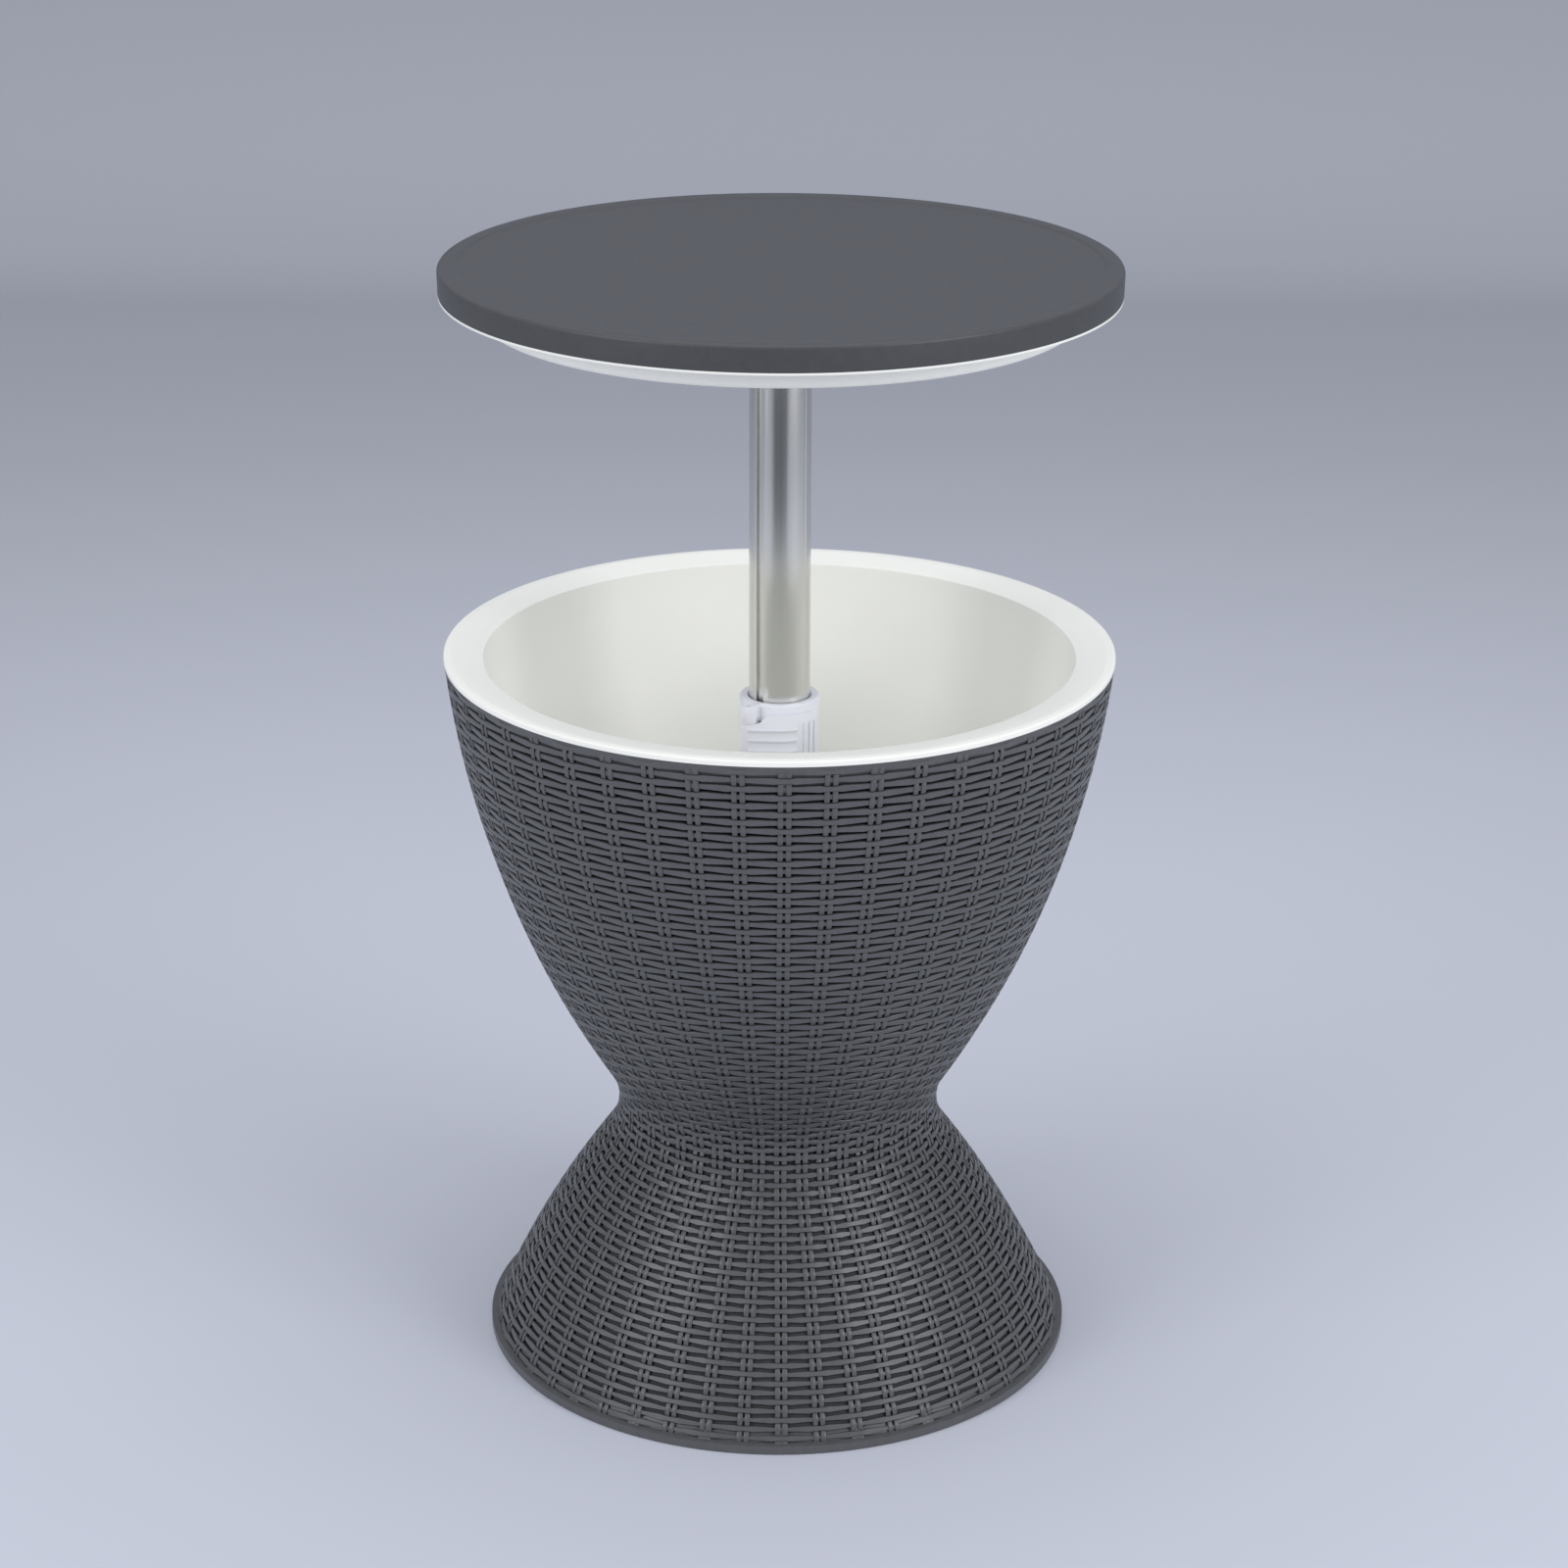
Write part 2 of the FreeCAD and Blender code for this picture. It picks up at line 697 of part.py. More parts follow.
def ice_bowl():
    body = new_body("ice_bowl")
    wall = S.bowl_wall
    reach = S.bowl_corner
    flank = bowl_flank
    floor_edge = bowl_foot_radius - reach * cosine(S.bowl_slope)
    outer_reach = reach + wall
    outer_start = (bowl_foot_radius + wall * cosine(S.bowl_slope),
                   bowl_start[1] - wall * sine(S.bowl_slope))
    under_rim = mouth_height - wall
    outer_top = flank.centre_x + leg(flank.radius + wall, under_rim - flank.centre_y)
    ring_outside = S.rim_radius - S.locating_ring_inset
    ring_inside = ring_outside - wall
    ring_bottom = barrel_top - S.locating_ring_drop
    edge = S.collar_edge
    turn(body, "bowl_wall", [
        (column_bore, socket_top),
        (column_bore, socket_top - wall),
        (S.socket_radius - wall, socket_top - wall),
        (S.socket_radius - wall, S.bowl_floor - wall),
        (floor_edge, S.bowl_floor - wall),
        (*outer_start, Bend(outer_reach, left=True)),
        (outer_top, under_rim, Bend(flank.radius + wall, left=True)),
        (ring_inside, barrel_top),
        (ring_inside, ring_bottom),
        (ring_outside, ring_bottom),
        (ring_outside, barrel_top),
        (S.rim_radius, barrel_top),
        (S.rim_radius, S.rim_height - edge),
        (S.rim_radius - edge, S.rim_height),
        (ring_outside, S.rim_height),
        (mouth_radius + edge, mouth_height),
        (flank.x_at(mouth_height - edge), mouth_height - edge),
        (*bowl_start, Bend(flank.radius, left=False)),
        (floor_edge, S.bowl_floor, Bend(reach, left=False)),
        (S.socket_radius, S.bowl_floor),
        (S.socket_radius, socket_top),
    ])
    hole_plan = sketch_on(body, "drain_hole_plan", offset=S.bowl_floor)
    circle(hole_plan, S.drain_neck + S.free_fit, 0, drain_offset)
    pocket(body, "drain_hole", hole_plan, 2 * wall)


def radial_holes(body, name, radius, height, reach, count):
    """Round holes through a wall, evenly spaced, the first in the body's -X side."""
    plan = sketch_on(body, f"{name}_plan", "YZ_Plane")
    circle(plan, radius, 0, height)
    hole = pocket(body, name, plan, reach)
    repeat(body, f"{name}s", [hole], count)


def washer(label, inside, outside, bottom, thickness):
    body = new_body(label)
    turn(body, "ring", [
        (inside, bottom),
        (outside, bottom),
        (outside, bottom + thickness),
        (inside, bottom + thickness),
    ])
    return body


def hand_nut(label, bore, radius, lug_radius, top, height):
    """A moulded nut with grip lugs, its top face against the piece that it clamps."""
    body = new_body(label)
    turn(body, "nut_ring", [
        (bore, top - height),
        (radius, top - height),
        (radius, top),
        (bore, top),
    ])
    plan = sketch_on(body, "lug_plan", offset=top)
    circle(plan, lug_radius, radius)
    lug = pad(body, "lug", plan, height, reverse=True)
    repeat(body, "lugs", [lug], S.nut_lugs)
    return body


def upright_screws(label, ring, count, seat):
    """Pan-head screws driven upwards, their heads under the seat."""
    body = new_body(label)
    head_plan = sketch_on(body, "head_plan", offset=seat)
    circle(head_plan, S.screw_head, ring)
    head = pad(body, "head", head_plan, S.screw_head_height, reverse=True)
    shank_plan = sketch_on(body, "shank_plan", offset=seat)
    circle(shank_plan, S.screw_radius, ring)
    shank = pad(body, "shank", shank_plan, S.screw_length)
    repeat(body, "screws", [head, shank], count)
    return body


def radial_screws(label, seat, depth, height, count):
    """Pan-head screws driven inwards through a round wall, the first on the -X side."""
    body = new_body(label)
    head_plan = sketch_on(body, "head_plan", "YZ_Plane", -seat)
    circle(head_plan, S.cross_screw_head, 0, height)
    head = pad(body, "head", head_plan, S.cross_screw_head_height, reverse=True)
    shank_plan = sketch_on(body, "shank_plan", "YZ_Plane", -seat)
    circle(shank_plan, S.screw_radius, 0, height)
    shank = pad(body, "shank", shank_plan, depth)
    repeat(body, "screws", [head, shank], count)
    return body


def column_sleeve():
    """The fixed outer column: a hollow bolt that ties the bowl down to the barrel."""
    body = new_body("column_sleeve")
    flange_top = sleeve_seat + S.sleeve_flange_thickness
    flare_foot = S.sleeve_upper_radius + S.sleeve_flare
    turn(body, "sleeve_wall", [
        (S.sleeve_bore, S.sleeve_bottom),
        (S.sleeve_radius, S.sleeve_bottom),
        (S.sleeve_radius, sleeve_seat),
        (S.sleeve_flange, sleeve_seat),
        (S.sleeve_flange, flange_top),
        (flare_foot, flange_top),
        (S.sleeve_upper_radius, flange_top + S.sleeve_flare, Bend(S.sleeve_flare, left=False)),
        (S.sleeve_upper_radius, S.collar_bottom),
        (S.spigot_radius, S.collar_bottom),
        (S.spigot_radius, sleeve_top),
        (S.sleeve_bore, sleeve_top),
    ])
    radial_holes(body, "screw_hole", S.screw_radius + S.running_fit, collar_screw_height,
                 S.sleeve_radius, S.collar_screws)
    aim_at_clamp(body)


def guide_bush():
    """The keyed plastic bush at the top of the sleeve, which keeps the lid from turning."""
    body = new_body("guide_bush")
    outside = S.sleeve_bore - S.running_fit
    top = sleeve_top + S.bush_flange
    turn(body, "bush", [
        (mast_bore, bush_bottom),
        (outside, bush_bottom),
        (outside, sleeve_top),
        (S.spigot_radius, sleeve_top),
        (S.spigot_radius, top),
        (mast_bore, top),
    ])
    half = S.key_half_width - S.free_fit
    plan = sketch_on(body, "key_plan", offset=bush_bottom)
    box_outline(plan, S.mast_radius - S.key_depth + S.free_fit, -half,
                (mast_bore + outside) / 2, half)
    pad(body, "key", plan, S.bush_length + S.bush_flange)
    aim_at_clamp(body)


def lug_outline(plan):
    """From the ring, tangent to the hinge boss on one side and short on the lever's side."""
    lean = (S.collar_radius - S.lug_radius) / S.pin_offset
    square = leg(as_size(1), lean)
    inside = (S.collar_radius + S.spigot_radius) / 2
    boss_x = S.pin_offset + S.lug_radius * lean
    boss_y = S.lug_radius * square
    neck = S.lug_radius - S.collar_edge
    outline(plan, [
        (inside * lean, -(inside * square), Bend(inside, left=False)),
        (S.collar_radius * lean, -(S.collar_radius * square)),
        (boss_x, -boss_y),
        (boss_x, boss_y, Bend(S.lug_radius, left=True)),
        (S.pin_offset - leg(S.lug_radius, neck), neck, Bend(S.lug_radius, left=True)),
        (leg(inside, neck), neck),
    ])


def clamp_collar():
    """The white head of the column, with two lugs that hold the lever's hinge pin."""
    body = new_body("clamp_collar")
    skirt_bore = S.spigot_radius + S.running_fit
    ledge = sleeve_top + S.bush_flange + S.running_fit
    bore = S.mast_radius + S.free_fit
    edge = S.collar_edge
    turn(body, "ring", [
        (skirt_bore, S.collar_bottom),
        (S.collar_radius, S.collar_bottom),
        (S.collar_radius, collar_top - edge),
        (S.collar_radius - edge, collar_top),
        (bore + edge, collar_top),
        (bore, collar_top - edge),
        (bore, ledge),
        (skirt_bore, ledge),
    ])
    lugs = (("upper_lug", collar_top - S.lug_height), ("lower_lug", lug_floor - S.lug_height))
    for name, bottom in lugs:
        plan = sketch_on(body, f"{name}_plan", offset=bottom)
        lug_outline(plan)
        pad(body, name, plan, S.lug_height)
    half = S.pad_half_width + S.free_fit
    window_plan = sketch_on(body, "pad_window_plan", offset=lug_floor)
    box_outline(window_plan, S.mast_radius / 2, -half, S.pin_offset, half)
    pocket(body, "pad_window", window_plan, S.lug_gap, reverse=True)
    pin_plan = sketch_on(body, "pin_hole_plan", offset=collar_top)
    circle(pin_plan, S.pin_radius + S.running_fit, S.pin_offset)
    pocket(body, "pin_hole", pin_plan, collar_top - S.collar_bottom)
    radial_holes(body, "screw_hole", S.screw_hole, collar_screw_height,
                 S.collar_radius + edge, S.collar_screws)
    aim_at_clamp(body)


def lever_pin():
    body = new_body("lever_pin")
    plan = sketch_on(body, "pin_plan", offset=collar_top - S.pin_recess)
    circle(plan, S.pin_radius, S.pin_offset)
    length = 2 * S.lug_height + S.lug_gap - 2 * S.pin_recess
    pad(body, "pin", plan, length, reverse=True)
    aim_at_clamp(body)


def brake_pad():
    """The shoe in the collar's window, between the lever's cam and the mast."""
    body = new_body("brake_pad")
    half = S.pad_half_width
    cam_reach = S.knuckle_radius + S.cam_throw * cosine(S.cam_phase)
    back = S.pin_offset - cam_reach - S.cam_gap
    plan = sketch_on(body, "pad_plan", offset=lug_floor + S.pad_end_gap)
    outline(plan, [
        (leg(mast_bore, half), -half, Bend(mast_bore, left=False)),
        (back, -half),
        (back, half),
        (leg(mast_bore, half), half),
    ])
    pad(body, "shoe", plan, S.lug_gap - 2 * S.pad_end_gap)
    aim_at_clamp(body)


def clamp_lever():
    """A cam on the hinge pin, with a ribbed plate that wraps round the collar."""
    body = new_body("clamp_lever")
    outer = S.lever_radius
    inner = outer - S.lever_thickness
    tip = S.lever_tip
    lean = (outer - S.knuckle_radius) / S.pin_offset
    square = leg(as_size(1), lean)
    heel = (S.pin_offset + S.knuckle_radius * lean, S.knuckle_radius * square)
    bend = (outer * lean, outer * square)
    knuckle_bottom = lug_floor + S.free_fit
    knuckle_height = S.lug_gap - 2 * S.free_fit

    cam_plan = sketch_on(body, "cam_plan", offset=knuckle_bottom)
    circle(cam_plan, S.knuckle_radius, S.pin_offset - S.cam_throw * cosine(S.cam_phase),
           S.cam_throw * sine(S.cam_phase))
    pad(body, "cam", cam_plan, knuckle_height)
    arm_plan = sketch_on(body, "arm_plan", offset=knuckle_bottom)
    tips = [
        bend,
        (outer * cosine(tip), outer * sine(tip), Bend(outer, left=True)),
        (inner * cosine(tip), inner * sine(tip)),
    ]
    arm_end = (leg(inner, S.knuckle_radius), S.knuckle_radius, Bend(inner, left=False))
    outline(arm_plan, [(S.pin_offset, 0), heel, *tips, arm_end])
    pad(body, "arm", arm_plan, knuckle_height)

    notch = S.lever_notch
    slant = (notch - heel[1]) / (bend[1] - heel[1])
    plate_start = (heel[0] + (bend[0] - heel[0]) * slant, notch)
    plate_plan = sketch_on(body, "plate_plan", offset=lever_bottom)
    plate_end = (leg(inner, notch), notch, Bend(inner, left=False))
    outline(plate_plan, [plate_end, plate_start, *tips])
    pad(body, "plate", plate_plan, lever_top - lever_bottom)
    shoulder_plan = sketch_on(body, "shoulder_plan", "YZ_Plane")
    for edge, beyond in ((knuckle_bottom, lever_bottom - S.lug_height),
                         (knuckle_bottom + knuckle_height, lever_top + S.lug_height)):
        level = lever_bottom if beyond.number < edge.number else lever_top
        outline(shoulder_plan, [
            (notch, edge),
            (S.lever_shoulder, level),
            (S.lever_shoulder, beyond),
            (notch - S.lever_thickness, beyond),
            (notch - S.lever_thickness, edge),
        ])
    pocket(body, "shoulders", shoulder_plan, 2 * S.pin_offset, reverse=True)
    round_tip(body)

    skin = S.lever_thickness / 2
    proud = S.lever_rib_proud
    end = S.lever_rib_end
    rib_plan = sketch_on(body, "rib_plan", offset=lever_rib_top - S.lever_rib_width)
    outline(rib_plan, [
        (S.pin_offset + (S.knuckle_radius - skin) * lean, (S.knuckle_radius - skin) * square),
        (S.pin_offset + (S.knuckle_radius + proud) * lean, (S.knuckle_radius + proud) * square),
        ((outer + proud) * lean, (outer + proud) * square),
        ((outer + proud) * cosine(end), (outer + proud) * sine(end),
         Bend(outer + proud, left=True)),
        ((outer - skin) * cosine(end), (outer - skin) * sine(end)),
        ((outer - skin) * lean, (outer - skin) * square, Bend(outer - skin, left=False)),
    ])
    rib = pad(body, "rib", rib_plan, S.lever_rib_width)
    stack(body, "ribs", rib, S.lever_ribs, S.lever_rib_pitch)
    start = S.finger_rib_start
    stop = start + S.finger_rib_arc
    finger_plan = sketch_on(body, "finger_rib_plan", offset=lever_bottom + S.lever_corner)
    outline(finger_plan, [
        ((outer - skin) * cosine(start), (outer - skin) * sine(start)),
        ((outer + proud) * cosine(start), (outer + proud) * sine(start)),
        ((outer + proud) * cosine(stop), (outer + proud) * sine(stop)),
        ((outer - skin) * cosine(stop), (outer - skin) * sine(stop)),
    ])
    finger_rib = pad(body, "finger_rib", finger_plan,
                     lever_top - lever_bottom - 2 * S.lever_corner)
    repeat(body, "finger_ribs", [finger_rib], S.finger_ribs,
           S.finger_rib_pitch * (S.finger_ribs - 1))
    bore_plan = sketch_on(body, "bore_plan", offset=knuckle_bottom)
    circle(bore_plan, S.pin_radius + S.running_fit, S.pin_offset)
    pocket(body, "bore", bore_plan, S.lug_gap, reverse=True)
    aim_at_clamp(body)


def stack(body, name, feature, count, pitch):
    """Copies of a feature, one under the other."""
    pattern = body.newObject("PartDesign::LinearPattern", name)
    pattern.Originals = [feature]
    pattern.Direction = (axis_of(body), [""])
    pattern.Reversed = True
    bind(pattern, "Length", pitch * (count - 1))
    bind(pattern, "Occurrences", count)
    finish(body, pattern)


def round_tip(body):
    """Rounds the two corners at the free end of the lever's plate."""
    base = body.Tip
    corners = []
    for number, edge in enumerate(base.Shape.Edges, start=1):
        ends = [vertex.Point for vertex in edge.Vertexes]
        level = abs(ends[0].z - ends[-1].z) < edge.Length / 2
        angles = [math.degrees(math.atan2(point.y, point.x)) for point in ends]
        at_tip = all(abs(angle - S.lever_tip.number) < 0.5 for angle in angles)
        if len(ends) == 2 and level and at_tip:
            corners.append(f"Edge{number}")
    fillet = body.newObject("PartDesign::Fillet", "tip_corners")
    fillet.Base = (base, corners)
    bind(fillet, "Radius", S.lever_corner)
    finish(body, fillet)


def drain():
    """The drain through the bowl floor: seat, seal, nut, and the plug that closes it."""
    seat = new_body("drain_seat")
    turn(seat, "seat", [
        (S.drain_bore, drain_foot),
        (S.drain_neck, drain_foot),
        (S.drain_neck, drain_seat_bottom),
        (S.drain_flange, drain_seat_bottom),
        (S.drain_flange, drain_seat_top),
        (S.drain_bore, drain_seat_top),
    ])
    neck_bore = S.drain_neck + S.running_fit
    seal = washer("drain_seal", neck_bore, S.drain_flange, S.bowl_floor, S.seal_thickness)
    back_nut = hand_nut("drain_nut", neck_bore, S.drain_nut_radius, S.drain_nut_lug,
                        S.bowl_floor - S.bowl_wall, S.drain_nut_height)
    head_bottom = drain_seat_top + S.seal_thickness
    head_top = head_bottom + S.bowl_wall
    stem = S.drain_bore - 2 * S.running_fit
    plug_seal = washer("plug_seal", stem + S.running_fit, S.drain_head, drain_seat_top,
                       S.seal_thickness)
    plug = new_body("drain_plug")
    turn(plug, "plug", [
        (0, drain_foot),
        (stem, drain_foot),
        (stem, head_bottom),
        (S.drain_head, head_bottom),
        (S.drain_head, head_top),
        (0, head_top),
    ])
    grip_plan = sketch_on(plug, "grip_plan", offset=head_top)
    reach = S.drain_head - S.seal_thickness
    box_outline(grip_plan, -reach, -(S.drain_grip_width / 2), reach, S.drain_grip_width / 2)
    pad(plug, "grip", grip_plan, S.drain_grip_height)
    for body in (seat, seal, back_nut, plug_seal, plug):
        bind(body, "Placement.Base.y", drain_offset)


def mast_tube():
    """The sliding mast: a drawn aluminium tube with a key groove down one side."""
    body = new_body("mast_tube")
    plan = sketch_on(body, "section", offset=mast_bottom)
    keyed_circle(plan, S.mast_radius, S.key_half_width, S.mast_radius - S.key_depth)
    keyed_circle(plan, S.mast_radius - S.mast_wall, S.key_half_width + S.mast_wall,
                 S.mast_radius - S.key_depth - S.mast_wall)
    pad(body, "tube", plan, mast_top - mast_bottom)
    hole_plan = sketch_on(body, "screw_hole_plan", "XZ_Plane")
    circle(hole_plan, S.screw_radius + S.running_fit, 0, mast_screw_height)
    pocket(body, "screw_holes", hole_plan, 3 * S.mast_radius, both_ways=True)
    aim_at_clamp(body)


def keyed_circle(plan, radius, half, floor):
    outline(plan, [
        (leg(radius, half), half),
        (-radius, 0, Bend(radius, left=True)),
        (leg(radius, half), -half, Bend(radius, left=True)),
        (floor, -half),
        (floor, half),
    ])


def mast_glide():
    """The shoe on the mast's foot: it slides in the sleeve and stops under the bush."""
    body = new_body("mast_glide")
    outside = S.sleeve_bore - S.running_fit
    plug = S.mast_radius - S.key_depth - S.mast_wall - S.free_fit
    bottom = mast_bottom - S.glide_floor
    turn(body, "shoe", [
        (S.glide_vent, bottom),
        (outside, bottom),
        (outside, glide_top),
        (mast_bore, glide_top),
        (mast_bore, mast_bottom),
        (plug, mast_bottom),
        (plug, mast_bottom + S.glide_plug),
        (plug - S.glide_floor, mast_bottom + S.glide_plug),
        (plug - S.glide_floor, mast_bottom),
        (S.glide_vent, mast_bottom),
    ])


def mast_socket():
    """The flanged cup under the lid that takes the top of the mast."""
    body = new_body("mast_socket")
    flange_bottom_face = plug_bottom - S.mast_socket_flange_thickness
    edge = S.collar_edge
    turn(body, "cup", [
        (mast_bore, mast_socket_bottom),
        (S.mast_socket_radius - edge, mast_socket_bottom),
        (S.mast_socket_radius, mast_socket_bottom + edge),
        (S.mast_socket_radius, flange_bottom_face),
        (S.mast_socket_flange, flange_bottom_face),
        (S.mast_socket_flange, plug_bottom),
        (S.mast_socket_radius, plug_bottom),
        (S.mast_socket_radius, mast_socket_top),
        (0, mast_socket_top),
        (0, mast_top),
        (mast_bore, mast_top),
    ])
    radial_holes(body, "mast_screw_hole", S.screw_hole, mast_screw_height,
                 2 * S.mast_socket_radius, S.mast_screws)
    plan = sketch_on(body, "flange_hole_plan", offset=plug_bottom)
    circle(plan, S.screw_hole, S.mast_socket_screw_circle)
    hole = pocket(body, "flange_hole", plan, 2 * S.mast_socket_flange_thickness)
    repeat(body, "flange_holes", [hole], S.mast_socket_screws)
    aim_at_clamp(body, 90)


def lid_top():
    """The grey table top: a shallow cap with a raised lip, ribs and screw bosses."""
    body = new_body("lid_top")
    edge = S.lid_edge
    wall = S.lid_plate
    lip_inside = lid_radius - S.lid_lip_width
    turn(body, "cap", [
        (0, lid_ceiling),
        (lid_radius - S.lid_draft - wall, lid_ceiling),
        (lid_radius - S.lid_draft - wall, lid_bottom),
        (lid_radius - S.lid_draft, lid_bottom),
        (lid_radius, S.table_height - edge),
        (lid_radius - edge, S.table_height),
        (lip_inside, S.table_height),
        (lip_inside - S.lid_lip_slope, lid_field),
        (0, lid_field),
    ])
    root_height = lid_ceiling + wall / 2
    rib_plan = sketch_on(body, "rib_profile", "XZ_Plane")
    box_outline(rib_plan, S.mast_socket_flange, lid_ceiling - S.lid_rib_height,
                lid_radius - wall, root_height)
    rib = pad(body, "rib", rib_plan, S.rib_thickness, both_ways=True)
    boss_plan = sketch_on(body, "boss_plan", offset=plug_floor)
    circle(boss_plan, S.lid_boss_radius, lid_screw_circle)
    boss = pad(body, "boss", boss_plan, root_height - plug_floor)
    repeat(body, "ribs_and_bosses", [rib, boss], S.lid_screws)
    inner_plan = sketch_on(body, "inner_boss_plan", offset=plug_floor)
    circle(inner_plan, S.lid_boss_radius, *inner_boss_place())
    inner_boss = pad(body, "inner_boss", inner_plan, root_height - plug_floor)
    repeat(body, "inner_bosses", [inner_boss], S.mast_socket_screws)
    hole_plan = sketch_on(body, "pilot_hole_plan", offset=plug_floor)
    circle(hole_plan, S.screw_radius + S.running_fit, lid_screw_circle)
    hole = pocket(body, "pilot_hole", hole_plan, S.screw_length, reverse=True)
    repeat(body, "pilot_holes", [hole], S.lid_screws)
    inner_hole_plan = sketch_on(body, "inner_pilot_hole_plan", offset=plug_floor)
    circle(inner_hole_plan, S.screw_radius + S.running_fit, *inner_boss_place())
    inner_hole = pocket(body, "inner_pilot_hole", inner_hole_plan, S.screw_length, reverse=True)
    repeat(body, "inner_pilot_holes", [inner_hole], S.mast_socket_screws)


def inner_boss_place():
    """Where the first screw of the mast socket stands, seen from above."""
    angle = S.clamp_azimuth + 90
    ring = S.mast_socket_screw_circle
    return ring * cosine(angle), ring * sine(angle)


def lid_underside():
    """The white lower moulding: a rim that sits on the bowl and a plug that drops inside."""
    body = new_body("lid_underside")
    flange_radius = lid_radius - S.flange_inset
    corner = S.plug_corner
    foot = plug_radius - S.plug_draft
    wall = S.lid_plate
    turn(body, "dish", [
        (flange_bore, plug_bottom),
        (foot - corner, plug_bottom),
        (foot, plug_bottom + corner),
        (plug_radius, flange_bottom),
        (flange_radius, flange_bottom),
        (flange_radius, lid_bottom),
        (plug_radius - wall, lid_bottom),
        (foot - wall, plug_floor),
        (flange_bore, plug_floor),
    ])
    plan = sketch_on(body, "screw_hole_plan", offset=plug_floor)
    circle(plan, S.screw_hole, lid_screw_circle)
    hole = pocket(body, "screw_hole", plan, 2 * wall)
    repeat(body, "screw_holes", [hole], S.lid_screws)
    inner_plan = sketch_on(body, "inner_screw_hole_plan", offset=plug_floor)
    circle(inner_plan, S.screw_hole, *inner_boss_place())
    inner_hole = pocket(body, "inner_screw_hole", inner_plan, 2 * wall)
    repeat(body, "inner_screw_holes", [inner_hole], S.mast_socket_screws)


# The assembly, from the floor up

base_shell()
barrel_shell()
upright_screws("housing_screws", housing_screw_circle, S.housing_screws,
               S.seam_height - S.web_thickness)
ice_bowl()
column_sleeve()
washer("column_seal", column_bore, S.sleeve_flange, socket_top, S.seal_thickness)
hand_nut("column_nut", S.sleeve_radius + S.running_fit, S.sleeve_nut_radius, S.sleeve_nut_lug,
         S.seam_height, S.sleeve_nut_height)
drain()
guide_bush()
clamp_collar()
aim_at_clamp(radial_screws("collar_screws", S.collar_radius,
                           S.collar_radius - S.sleeve_bore - S.free_fit,
                           collar_screw_height, S.collar_screws))
lever_pin()
brake_pad()
clamp_lever()
mast_glide()
mast_tube()
mast_socket()
aim_at_clamp(radial_screws("mast_screws", S.mast_socket_radius, S.mast_screw_depth,
                           mast_screw_height, S.mast_screws), 90)
lid_underside()
lid_top()
upright_screws("lid_screws", lid_screw_circle, S.lid_screws, plug_bottom)
aim_at_clamp(upright_screws("socket_screws", S.mast_socket_screw_circle, S.mast_socket_screws,
                            plug_bottom - S.mast_socket_flange_thickness), 90)
doc.recompute()

for item in doc.Objects:
    if {"Invalid", "Error"} & set(item.State):
        raise RuntimeError(f"{item.Name} failed: {item.State}")
for part in PARTS:
    if part.Shape.isNull() or not part.Shape.isValid():
        raise RuntimeError(f"{part.Label} has no valid shape")

os.makedirs("parts", exist_ok=True)
for part in PARTS:
    part.Shape.exportStep(f"parts/{part.Label}.step")
    print(f"{part.Label}: {len(part.Shape.Solids)} solids, {part.Shape.Volume / 1000:.1f} cm3")
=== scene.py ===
import math

import bpy
import numpy as np
from mathutils import Matrix, Vector


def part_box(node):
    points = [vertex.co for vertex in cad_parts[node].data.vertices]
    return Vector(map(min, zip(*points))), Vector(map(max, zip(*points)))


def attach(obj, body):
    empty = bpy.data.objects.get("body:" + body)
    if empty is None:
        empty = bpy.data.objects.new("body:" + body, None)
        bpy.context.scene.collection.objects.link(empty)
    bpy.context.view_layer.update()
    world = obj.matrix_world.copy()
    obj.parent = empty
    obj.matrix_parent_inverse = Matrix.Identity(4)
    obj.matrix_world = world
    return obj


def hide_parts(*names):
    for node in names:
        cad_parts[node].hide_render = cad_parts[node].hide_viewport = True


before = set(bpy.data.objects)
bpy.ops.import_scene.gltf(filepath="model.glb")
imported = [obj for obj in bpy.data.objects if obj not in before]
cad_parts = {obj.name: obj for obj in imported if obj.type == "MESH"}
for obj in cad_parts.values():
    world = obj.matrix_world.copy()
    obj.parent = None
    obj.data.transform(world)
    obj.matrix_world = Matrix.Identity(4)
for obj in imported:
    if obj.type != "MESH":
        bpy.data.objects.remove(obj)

bpy.ops.object.select_all(action="DESELECT")
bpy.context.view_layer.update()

# The camera stands in front of the table and a little above it, with a long lens. Its place,
# pitch and lens come from the circles of the rim, the lid and the foot in the photograph.
camera_place = (0.0037, -2.6501, 1.4385)
camera_pitch = math.radians(69.412)
camera_roll = math.radians(0.243)
lens_mm = 86.67
sensor_mm = 36.0
farthest_seen = 50

bpy.ops.object.camera_add(location=camera_place)
camera = bpy.context.object
camera.name = "camera"
pitched = Matrix.Rotation(camera_pitch, 4, "X") @ Matrix.Rotation(camera_roll, 4, "Z")
camera.rotation_euler = pitched.to_euler()
camera.data.lens = lens_mm
camera.data.sensor_width = sensor_mm
camera.data.clip_end = farthest_seen
bpy.context.scene.camera = camera

# The studio floor is one sheet of pale cool-grey paper that runs up into a backdrop. Its colour
# holds a painted pool of light: paler near the table and a little darker away from it.
floor_half_width = 12.0
floor_front = -12.0
floor_back = 3.4
cove_radius = 0.5
cove_steps = 12
backdrop_height = 3.5
# Painted pool of light: the paper's colour near the table, and away from it.
floor_near = (0.515, 0.535, 0.612, 1)
floor_far = (0.42, 0.435, 0.487, 1)
floor_fade_near = 0.5
floor_fade_far = 3.0


